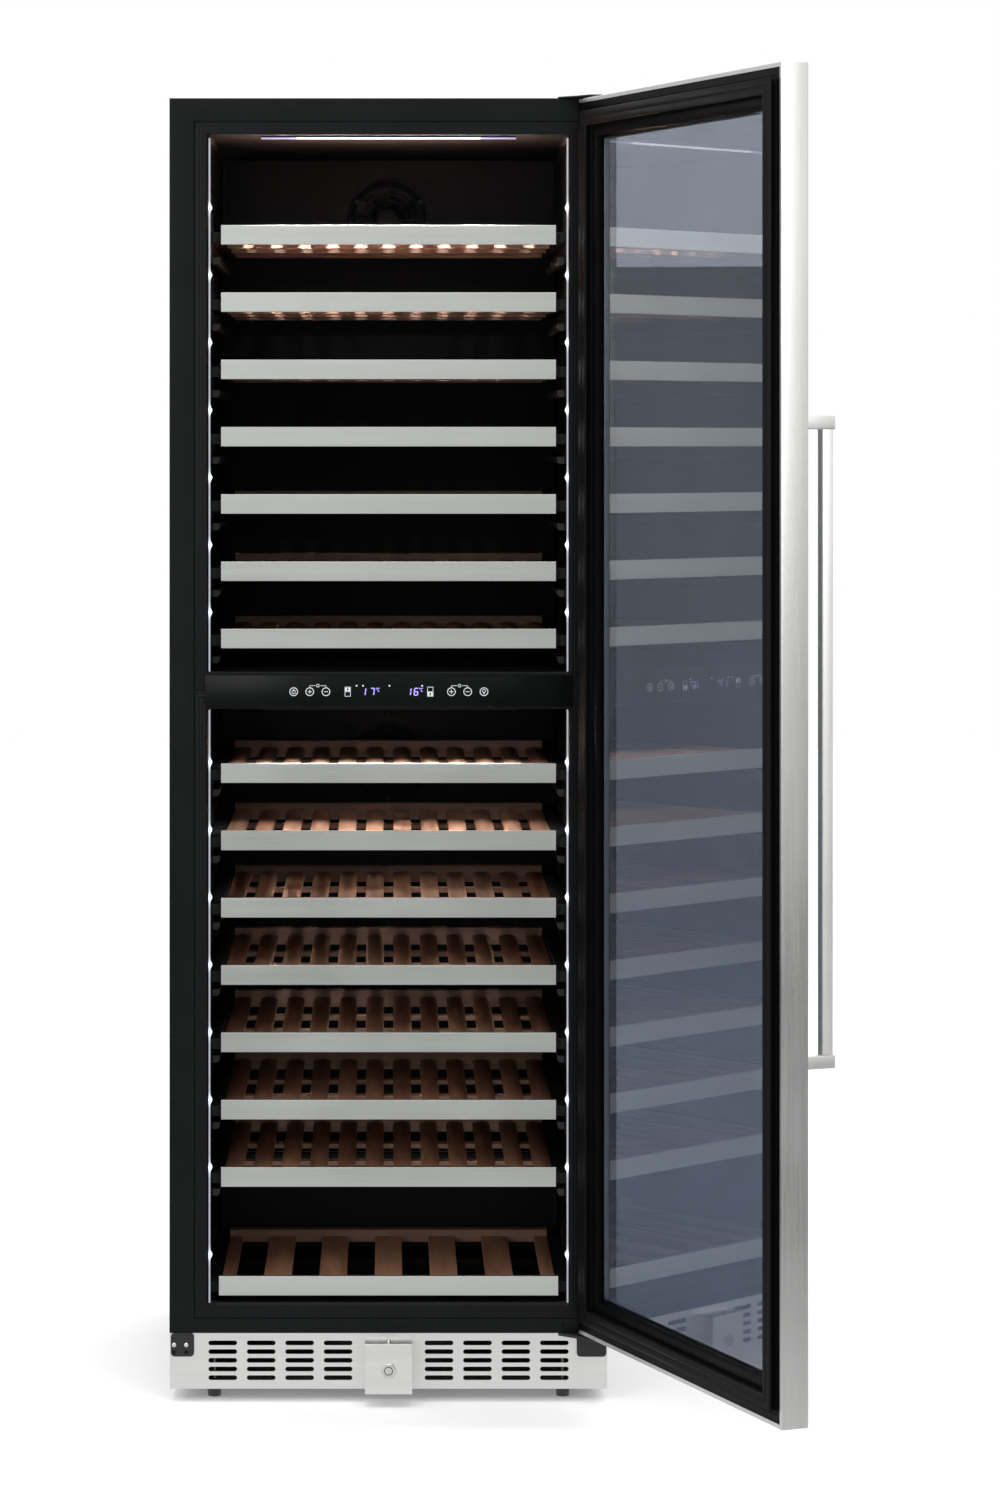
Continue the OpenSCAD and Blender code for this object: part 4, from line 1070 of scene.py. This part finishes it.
class COOLER_OT_shelves(CoolerStep):
    """Fifteen beech racks with their folded steel trims"""

    bl_idname = "cooler.shelves"
    bl_label = "Shelves"

    def build(self, sizes, colours, light):
        self.slats, self.rise = sizes.slat_count, sizes.slat_rise / MM
        for n in range(SHELVES):
            self.rack(n)
            self.trim(n)

    def crown(self, x, w, top, rise):
        """Slat outline: a flat bottom, straight sides and a curved top, z = top - rise * (2u / w)^2."""
        u = np.linspace(w / 2, -w / 2, 9)
        arc = np.stack([x + u, top - rise * (2 * u / w) ** 2], -1)
        return np.vstack([(x - w / 2, top - SLAT_ROOM), (x + w / 2, top - SLAT_ROOM), arc])

    def rack(self, n):
        """Cross bars, a back bar and slats; the last rack has fewer, wider and flatter slats."""
        (x0, y0, z0), (x1, y1, z1) = RACKS[n]
        wide = n == SHELVES - 1
        bar_w = 22
        slat_top = z1 - SLAT_ROOM
        slat_low = slat_top - SLAT_ROOM
        back = y1 - bar_w
        first = y0 + TRIM_DEEP
        across = [first] if wide else [first + i * (back - first) / 3 for i in range(4)]
        rack = Shape()
        for y in across:
            rack.bar((x0, y, z0), (x1, y + bar_w, slat_low + 0.01), finish=1)
        rack.bar((x0, back, slat_low), (x1, y1, z1), finish=1)
        if wide:
            width, rise = 38, 0.4
            widths = [width / 2, *[width] * 5, width / 2]
            centres = x0 + (x1 - x0) / 6 * np.arange(7) + np.r_[width / 4, np.zeros(5), -width / 4]
        else:
            width, rise = 25, self.rise
            widths = [width] * self.slats
            centres = x0 + width / 2 + (x1 - x0 - width) / (self.slats - 1) * np.arange(self.slats)
        for x, w in zip(centres, widths):
            rack.grid(carried(self.crown(x, w, slat_top, rise), "y", (y0, y0 + 3, back - 3, back)))
        number = f"{n + 1:02d}"
        slats = "beech_wide_slats" if wide else "beech_slats"
        # The cross and back bars take the beech darkened with painted shade.
        make_piece(f"rack_{number}", rack, f"shelf_{number}", [slats, "beech_bars_painted_shade"],
                   [f"shelf_{number}_rack"], bevel=0.8, crease=42)

    def trim(self, n):
        """A C-section of folded sheet carried along X, with a slide bar at each end."""
        (_, y0, z0), (x1, y1, z1) = TRIMS[n]
        half = x1 - SLIDE_OUT
        lip, t = y0 + TRIM_DEEP, SHEET_T
        section = [(y0, z0), (lip, z0), (lip, z0 + t), (y0 + t, z0 + t), (y0 + t, z1 - t), (lip, z1 - t),
                   (lip, z1), (y0, z1)]
        front = Shape()
        front.grid(carried(section, "x", (-half, half)))
        slide_z, up, inner = z0 + SLIDE_UP, 4, half - 2.3
        for side in (-1, 1):
            for outer, near, far in ((half, y0 + t, lip), (half + SLIDE_OUT, lip - 1, y1)):
                a, b = sorted((side * inner, side * outer))
                front.bar((a, near, slide_z - up), (b, far, slide_z + up), finish=1)
        number = f"{n + 1:02d}"
        make_piece(f"trim_{number}", front, f"shelf_{number}", ["trim_steel", "runner_plastic"],
                   [f"shelf_{number}_trim"], bevel=0.45)


class COOLER_OT_runners(CoolerStep):
    """Grooved side runners on their wall ledges"""

    bl_idname = "cooler.runners"
    bl_label = "Shelf runners"

    def build(self, sizes, colours, light):
        runners = Shape()
        wall = OPEN_X - 0.3
        for n in range(SHELVES):
            (_, y0, z0), (x1, y1, _) = TRIMS[n]
            half = x1 - SLIDE_OUT
            slide_z = z0 + SLIDE_UP
            front = y0 + TRIM_DEEP + 2
            ledge_z = max(z0 - 24, OPEN_SILL + 0.3)
            groove, lip, inner, floor = 4.3, 7, half + 1.2, half + 4.5
            channel = np.array([
                (inner, slide_z - lip), (wall, slide_z - lip), (wall, slide_z + lip), (inner, slide_z + lip),
                (inner, slide_z + groove), (floor, slide_z + groove), (floor, slide_z - groove),
                (inner, slide_z - groove),
            ])
            ledge = np.array([(wall, ledge_z), (wall, ledge_z + 10), (OPEN_X - 14, ledge_z + 10),
                              (OPEN_X - 14, ledge_z + 4), (OPEN_X - 11, ledge_z)])
            for side in (1, -1):
                flip = np.array((side, 1))
                runners.grid(carried(channel * flip, "y", (front, y1)))
                a = sorted((side * (OPEN_X - 4.5), side * wall))
                runners.bar((a[0], front, ledge_z), (a[1], y1, slide_z))
                runners.grid(carried(ledge * flip, "y", (85, y1)), finish=1)
        make_piece("shelf_runner_rails", runners, "cabinet", ["runner_plastic", "ledge_plastic"],
                   ["shelf_runners"], bevel=0.6)


class COOLER_OT_kick_plate(CoolerStep):
    """Slotted steel kick plate and the four feet behind it"""

    bl_idname = "cooler.kick_plate"
    bl_label = "Kick plate and feet"

    def build(self, sizes, colours, light):
        low, high = KICK_LOW, KICK_HIGH
        pitch_x, pitch_z, first = 52.2, 11.8, 68.5
        slot_length, slot_height, side = 39, 6.4, 6
        edges = first - pitch_x / 2 + pitch_x * np.arange(5)
        a = [low[0], *(-edges[::-1]), *edges, high[0]]
        middle = 56.6
        b = [low[2], *(middle + pitch_z * (np.arange(6) - 2.5)), high[2]]
        holes = {}
        for i in (*range(1, 5), *range(6, 10)):
            for j in range(1, 6):
                holes[(i, j)] = stadium((a[i] + a[i + 1]) / 2, (b[j] + b[j + 1]) / 2, slot_length,
                                        slot_height, side)
        plate = Shape()
        plate.plate("y", low[1], a, b, holes, side)
        deep = [low[1], high[1]]
        plate.plate("x", low[0], deep, b, side=side, flip=True)
        plate.plate("x", high[0], deep, b, side=side)
        plate.plate("z", low[2], a, deep, side=side, flip=True)
        make_sheet("kick_plate_sheet", plate, "kick_steel", ["kick_plate"])
        self.feet(low[2])

    def feet(self, gap):
        """Turned cups on threaded stems: the stem's radius swings between root and crest at each turn
        of thread."""
        feet = Shape()
        cup = [(5, 0), (7.6, 0), (8.6, 0.3), (9.0, 1.0), (9.9, 15.6), (9.7, 17), (9.0, 18), (3, 18)]
        thread = np.arange(gap + 1.0, gap + 38.5, 0.75)
        stem = np.stack([np.where(np.arange(len(thread)) % 2, 3.0, 2.45), thread], -1)
        for x in (-FOOT_X, FOOT_X):
            for y in FOOT_YS:
                feet.grid(turned(cup, (x, y, 0), "z", 36))
                feet.grid(turned(stem, (x, y, 0), "z", 20), finish=1)
        make_piece("feet", feet, "cabinet", ["foot_plastic", "bright_steel"],
                   ["levelling_feet"], crease=50)
        paint_node("base_tray", "tray_coat")


class COOLER_OT_lock(CoolerStep):
    """Lock bracket, barrel with its lobed bezel, and the bolt"""

    bl_idname = "cooler.lock"
    bl_label = "Lock"

    def build(self, sizes, colours, light):
        low, high = LOCK_LOW, LOCK_HIGH
        reach, deep = 14, [low[1], high[1]]
        bracket = Shape()
        b = [low[2], LOCK_Z - reach, LOCK_Z + reach, high[2]]
        bracket.plate("y", low[1], [low[0], -reach, reach, high[0]], b, {(1, 1): circle(0, LOCK_Z, 8.1)})
        bracket.plate("x", low[0], deep, b, flip=True)
        bracket.plate("x", high[0], deep, b)
        make_sheet("lock_bracket_sheet", bracket, "kick_steel", ["lock_bracket"], 0.6)
        top = Shape()
        top.plate("z", high[2], [low[0] + 1.6, high[0] - 1.6], [low[1] + 1.6, high[1]],
                  {(0, 0): stadium(0, BOLT_Y, 58, 6.4)})
        make_sheet("lock_bracket_top", top, "kick_steel", (), 0.3)
        self.barrel()
        bolt = Shape()
        foot, tip = BOLT_LOW[2], BOLT_HIGH[2]
        pin = [(1, foot), (3, foot), (3, tip - 0.8), (2.2, tip), (0.6, tip)]
        bolt.grid(turned(pin, (0, BOLT_Y, 0), "z", 24))
        bolt.bar((-7, BOLT_Y - 2, foot), (7, BOLT_Y + 2, foot + 4))
        make_piece("lock_bolt_pin", bolt, "bolt", ["bright_steel"], ["lock_bolt"])

    def barrel(self):
        """Bezel radius r (1 + 0.055 cos 6 angle), a grooved face inside it, and a sunk key slot."""
        front, z = BARREL_LOW[1], LOCK_Z
        steps = 48
        barrel = Shape()
        bezel = [(8.1, front + 2.2), (9.7, front + 2.2), (9.9, front + 1.0), (9.2, front + 0.1),
                 (7.6, front)]
        barrel.grid(turned(bezel, (0, 0, z), "y", steps, lambda a: 1 + 0.055 * np.cos(6 * a)), caps=False)
        angle = np.arange(steps) * math.tau / steps
        side = np.stack([np.cos(angle), np.sin(angle)], -1)
        slot = side / np.maximum(np.abs(side[:, :1]) / 0.6, np.abs(side[:, 1:]) / 3.0)
        parts = [
            ([(side * 7.6, front), (side * 5.9, front + 0.1)], 0),
            ([(side * 5.9, front + 0.1), (side * 5.8, front + 1.0), (side * 4.9, front + 1.0),
              (side * 4.8, front)], 1),
            ([(side * 4.8, front), (slot, front)], 0),
            ([(slot, front), (slot, front + 4), (slot * 0.05, front + 4)], 1),
        ]
        for loops, finish in parts:
            rows = np.stack([carried(p + (0, z), "y", (y,))[0] for p, y in loops])
            barrel.grid(rows, caps=False, finish=finish)
        barrel.grid(turned([(8.0, front + 1.5), (8.0, -14)], (0, 0, z), "y", steps))
        barrel.bar((-4, -14, z - 4), (4, -12, z + 11))
        make_piece("lock_barrel_face", barrel, "lock_barrel", ["bright_steel", "gloss_panel"],
                   ["lock_cylinder"], merge=True)


class COOLER_OT_hinges(CoolerStep):
    """Hinge arms with their pins, covers, and all the screw heads"""

    bl_idname = "cooler.hinges"
    bl_label = "Hinges and screws"

    def build(self, sizes, colours, light):
        side_x, px, py = HALF_W - 2, PIVOT[0], PIVOT[1]
        top, base = CASE_HIGH[2], CASE_LOW[2]
        arm = np.array([(side_x, 0), (side_x, py + 6), (px + 9, py - 12), (px - 9, py - 12),
                        (px - 24, py + 6), (px - 50, 0)])
        topped = np.vstack([arm[1:-1], [(px - 50, 0), (px - 50, 60), (side_x, 60), (side_x, 0)]])
        plates = Shape()
        plates.grid(carried(topped, "z", (top, top + 2)))
        plates.grid(carried(arm, "z", (base - 4, base)))
        pin, centre = 4, (px, py, 0)
        for low, high in ((top - 14, top + 3), (base - 4, base + 17)):
            profile = [(1, low), (pin, low), (pin, high - 0.6), (pin - 0.6, high), (1, high)]
            plates.grid(turned(profile, centre, "z", 28), finish=1)
        collar = [(pin, base - 0.5), (7, base - 0.5), (7, base + 2.7), (pin, base + 2.7)]
        plates.grid(turned(collar, centre, "z", 28))
        low = base - 32
        cover = rounded(side_x - 40, low, side_x, base, 5)
        plates.grid(carried(cover, "y", (-3.2, 0)))
        spare = rounded(-side_x, low, -side_x + 31.5, base, 5)
        plates.grid(carried(spare, "y", (-2.2, 0)))
        raised = rounded(-side_x + 2, base - 22, -side_x + 30, base - 1.5, 3)
        plates.grid(carried(raised, "y", (-3.2, -2.0)))
        make_piece("hinge_plates", plates, "cabinet", ["hinge_coat", "bright_steel"],
                   ["hinge_brackets"], bevel=0.7, crease=40)
        self.screws()

    def head(self, shape, x, y, z, r, height, axis, way, finish=0):
        """A domed head with a cross recess: rings of radius r, then a cross whose outline is the circle
        0.52 r cut to four arms by 0.14 r / min(|cos|, |sin|), sunk in."""
        steps = 32
        angle = np.arange(steps) * math.tau / steps
        unit = np.stack([np.cos(angle), np.sin(angle)], -1)
        arm = 0.14 / np.maximum(np.minimum(np.abs(unit[:, 0]), np.abs(unit[:, 1])), 1e-6)
        cross = unit * np.minimum(arm, 0.52)[:, None]
        rings = [(unit * 0.96, 0.0), (unit, 0.25), (unit * 0.86, 0.72), (unit * 0.62, 1.0), (cross, 1.0),
                 (cross * 0.8, 0.35)]
        centre = np.array([x, y, z], float)
        a, b, along = ACROSS[axis]
        rows = np.empty((len(rings), steps, 3))
        for k, (loop, up) in enumerate(rings):
            rows[k, :, a] = centre[a] + loop[:, 0] * r
            rows[k, :, b] = centre[b] + loop[:, 1] * r
            rows[k, :, along] = centre[along] + way * up * height
        shape.grid(rows, finish=finish)

    def screws(self):
        heads = Shape()
        ring = 75
        for z in FAN_Z.values():
            for t in np.radians((-45, 0, 45)):
                self.head(heads, ring * math.sin(t), DUCT_LOW[1], z + ring * math.cos(t), 4, 1.2, "y", -1,
                          finish=1)
        base = CASE_LOW[2]
        for x in (-HALF_W + 6.5, -HALF_W + 23):
            self.head(heads, x, -3.2, base - 16, 3, 1.2, "y", -1)
            hole = [(0.4, -3.25), (2.2, -3.3), (2.6, -3.2), (2.6, -3.1)]
            heads.grid(turned(hole, (x, 0, base - 26), "y", 20), finish=2)
        for side in (-1, 1):
            self.head(heads, side * (HALF_W - 63), 0, base + 12, 3.5, 1.2, "y", -1, finish=1)
            self.head(heads, side * (HALF_W - 18), 8, KICK_LOW[2], 3.5, 1.2, "z", -1)
        for x in (20, 45):
            for y in (20, 45):
                self.head(heads, HALF_W - x, y, CASE_HIGH[2] + 2, 4.5, 1.2, "z", 1)
        make_piece("screw_heads", heads, "cabinet",
                   ["bright_steel", "liner_plastic", "gloss_panel"],
                   ["screws"])


class COOLER_OT_door(CoolerStep):
    """Door skin, liner, folded seal, glass and spacer"""

    bl_idname = "cooler.door"
    bl_label = "Door"

    def build(self, sizes, colours, light):
        t, rail, depth = 1.2, 54.0, DOOR_T
        bend = 1.8
        turn = np.linspace(math.pi, math.pi * 1.5, 4)
        nose = np.stack([bend + bend * np.cos(turn), depth - bend - bend * np.sin(turn)], -1)
        skin = np.vstack([
            [(5.5, 0.0), (0.5, 0.0), (0.0, 0.5)], nose,
            [(rail - 0.6, depth), (rail, depth - 0.6), (rail, 26.3), (rail - t, 26.3),
             (rail - t, depth - t), (bend, depth - t), (t, depth - bend), (t, t), (5.5, t)],
        ])
        shape = Shape()
        rows = door_ring(skin)
        hinge_side = np.ones(len(skin), int)
        hinge_side[[0, 1, -1]] = 2
        for k, finish in enumerate((0, hinge_side, 0, 1)):
            shape.grid(rows[[k, (k + 1) % 4]], caps=False, finish=finish)
        make_piece("door_skin", shape, "door",
                   ["door_steel_across", "door_steel", "door_liner_plastic"],
                   ["door_frame"], door=True, merge=True)
        self.liner(depth)
        self.seal(sizes.seal_folds)
        paint_node("glass_panes", "tinted_glass")
        spacer = Shape()
        spacer.grid(door_ring([(48, 15.05), (56.6, 15.05), (57, 15.5), (57, 21.5), (56.6, 21.95),
                               (48, 21.95)]), ring=True)
        make_piece("glass_spacer_bar", spacer, "door", ["spacer_steel"], ["glass_spacer"],
                   door=True)

    def liner(self, depth):
        """Stepped black liner: a flat land, the seal's groove, a raised bead and a slope down to the
        glass."""
        section = [(1.3, 1.3), (15, 1.3), (15.6, 2.0), (16.8, 2.0), (17.4, 1.3), (39, 1.3), (39.6, 2.2),
                   (41, 2.2), (41.6, 1.3), (49, 1.3), (52.5, 2.6), (54, 5.0), (54, 10.8), (44.5, 10.8),
                   (44.5, 26.4), (52.7, 26.4), (52.7, depth - 1.3), (1.3, depth - 1.3)]
        shape = Shape()
        shape.grid(door_ring(section), ring=True)
        make_piece("door_liner_panel", shape, "door", ["door_liner_plastic"], ["door_liner"],
                   door=True)

    def seal(self, folds):
        """Bellows section: the sides swing in and out once per fold between the foot and the magnet
        chamber."""
        foot, crown, s0, s1 = 1.25, -7.5, 18.0, 38.0
        neck = -4.4
        steps = 6 * folds
        k = np.linspace(0, 1, steps + 1)
        swing = 1.9 * (0.5 - 0.5 * np.cos(k * folds * math.tau))
        left = np.stack([s0 + 1 + swing, foot + (neck - foot) * k], -1)
        right = np.stack([s1 - 1 - swing, foot + (neck - foot) * k], -1)[::-1]
        half = [(0, neck - 0.4), (0, crown + 0.8), (0.8, crown), (8.6, crown), (9.2, crown + 0.5)]
        chamber = [(s0 + s, z) for s, z in half] + [(s1 - s, z) for s, z in reversed(half)]
        shape = Shape()
        shape.grid(door_ring(np.vstack([left, chamber, right])), ring=True)
        make_piece("door_seal", shape, "door", ["seal_rubber"], ["door_gasket"],
                   door=True, crease=60)


class COOLER_OT_handle(CoolerStep):
    """Upright bar between two posts"""

    bl_idname = "cooler.handle"
    bl_label = "Handle"

    def build(self, sizes, colours, light):
        x0, w = -HALF_W + 35, 13
        gap, t, proud = 37.5, 15, 3.5
        mid = (DOOR_LOW[2] + DOOR_HIGH[2]) / 2
        post, half_span = 8.5, 395
        shape = Shape()
        bar = rounded(x0, DOOR_FACE - gap - t, x0 + w, DOOR_FACE - gap, 1.6, 4)
        end = half_span - post - 0.2
        shape.grid(carried(bar, "z", (mid - end, mid + end)))
        reach = DOOR_FACE - gap - t - proud
        for side in (-1, 1):
            z = mid + side * half_span
            rows = carried(rounded(x0, z - post, x0 + w, z + post, 1.4, 4), "y",
                           (reach, reach + 0.5, reach + 1.4, DOOR_FACE))
            middle = np.array([x0 + w / 2, 0, z])
            for k, shrink in ((0, 1.4), (1, 0.45)):
                away = rows[k] - middle
                away[:, 1] = 0
                rows[k] -= np.sign(away) * shrink
            shape.grid(rows, finish=1)
        make_piece("door_handle", shape, "door", ["handle_steel", "post_steel"], ["handle"],
                   door=True)


class COOLER_OT_inner_works(CoolerStep):
    """Materials of the parts inside the walls and the machine space"""

    bl_idname = "cooler.inner_works"
    bl_label = "Inner works"

    def build(self, sizes, colours, light):
        for name, finish in (("insulation", "foam"), ("coils", "fin_metal"),
                             ("compressor", "compressor_paint"), ("cord_gland", "seal_rubber")):
            paint_node(name, finish)


class COOLER_OT_finishes(CoolerStep):
    """Shader groups and materials that the other steps use"""

    bl_idname = "cooler.finishes"
    bl_label = "Finishes"

    def build(self, sizes, colours, light):
        make_finishes(colours, light)
        beech("beech_slats", colours.wood_light, colours.wood_dark, "y")
        beech("beech_wide_slats", colours.wood_light, colours.wood_dark, "y", 0.07623, 0.0381)
        # Painted shade: the bars use the slats' beech times 0.62, darker because the racks' bars get little
        # light.
        painted_shade_tones = [tuple(c * 0.62 for c in tone) for tone in (colours.wood_light, colours.wood_dark)]
        beech("beech_bars_painted_shade", *painted_shade_tones, "x")


class COOLER_PT_panel(Panel):
    """Sizes, colours and building steps in the sidebar"""

    bl_label = "Wine cooler"
    bl_idname = "COOLER_PT_panel"
    bl_space_type = "VIEW_3D"
    bl_region_type = "UI"
    bl_category = "Wine cooler"

    def draw(self, context):
        for group in (context.scene.cooler_sizes, context.scene.cooler_colours, context.scene.cooler_light):
            box = self.layout.box()
            for key in group.__annotations__:
                box.prop(group, key)
        for step in STEPS:
            self.layout.operator(step.bl_idname)


STEPS = (
    COOLER_OT_stage, COOLER_OT_finishes, COOLER_OT_casing, COOLER_OT_liners, COOLER_OT_ducts,
    COOLER_OT_lights, COOLER_OT_control_panel, COOLER_OT_shelves, COOLER_OT_runners,
    COOLER_OT_kick_plate, COOLER_OT_lock, COOLER_OT_hinges, COOLER_OT_door, COOLER_OT_handle,
    COOLER_OT_inner_works,
)
GROUPS = {"cooler_sizes": CoolerSizes, "cooler_colours": CoolerColours, "cooler_light": CoolerLight}


def register():
    for group in GROUPS.values():
        bpy.utils.register_class(group)
    for step in STEPS:
        bpy.utils.register_class(step)
    bpy.utils.register_class(COOLER_PT_panel)
    for key, group in GROUPS.items():
        setattr(bpy.types.Scene, key, PointerProperty(type=group))


def unregister():
    for key in GROUPS:
        delattr(bpy.types.Scene, key)
    for made in (COOLER_PT_panel, *reversed(STEPS), *reversed(GROUPS.values())):
        bpy.utils.unregister_class(made)


def main():
    """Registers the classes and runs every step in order."""
    register()
    for step in STEPS:
        family, action = step.bl_idname.split(".")
        getattr(getattr(bpy.ops, family), action)()


if __name__ == "__main__":
    main()
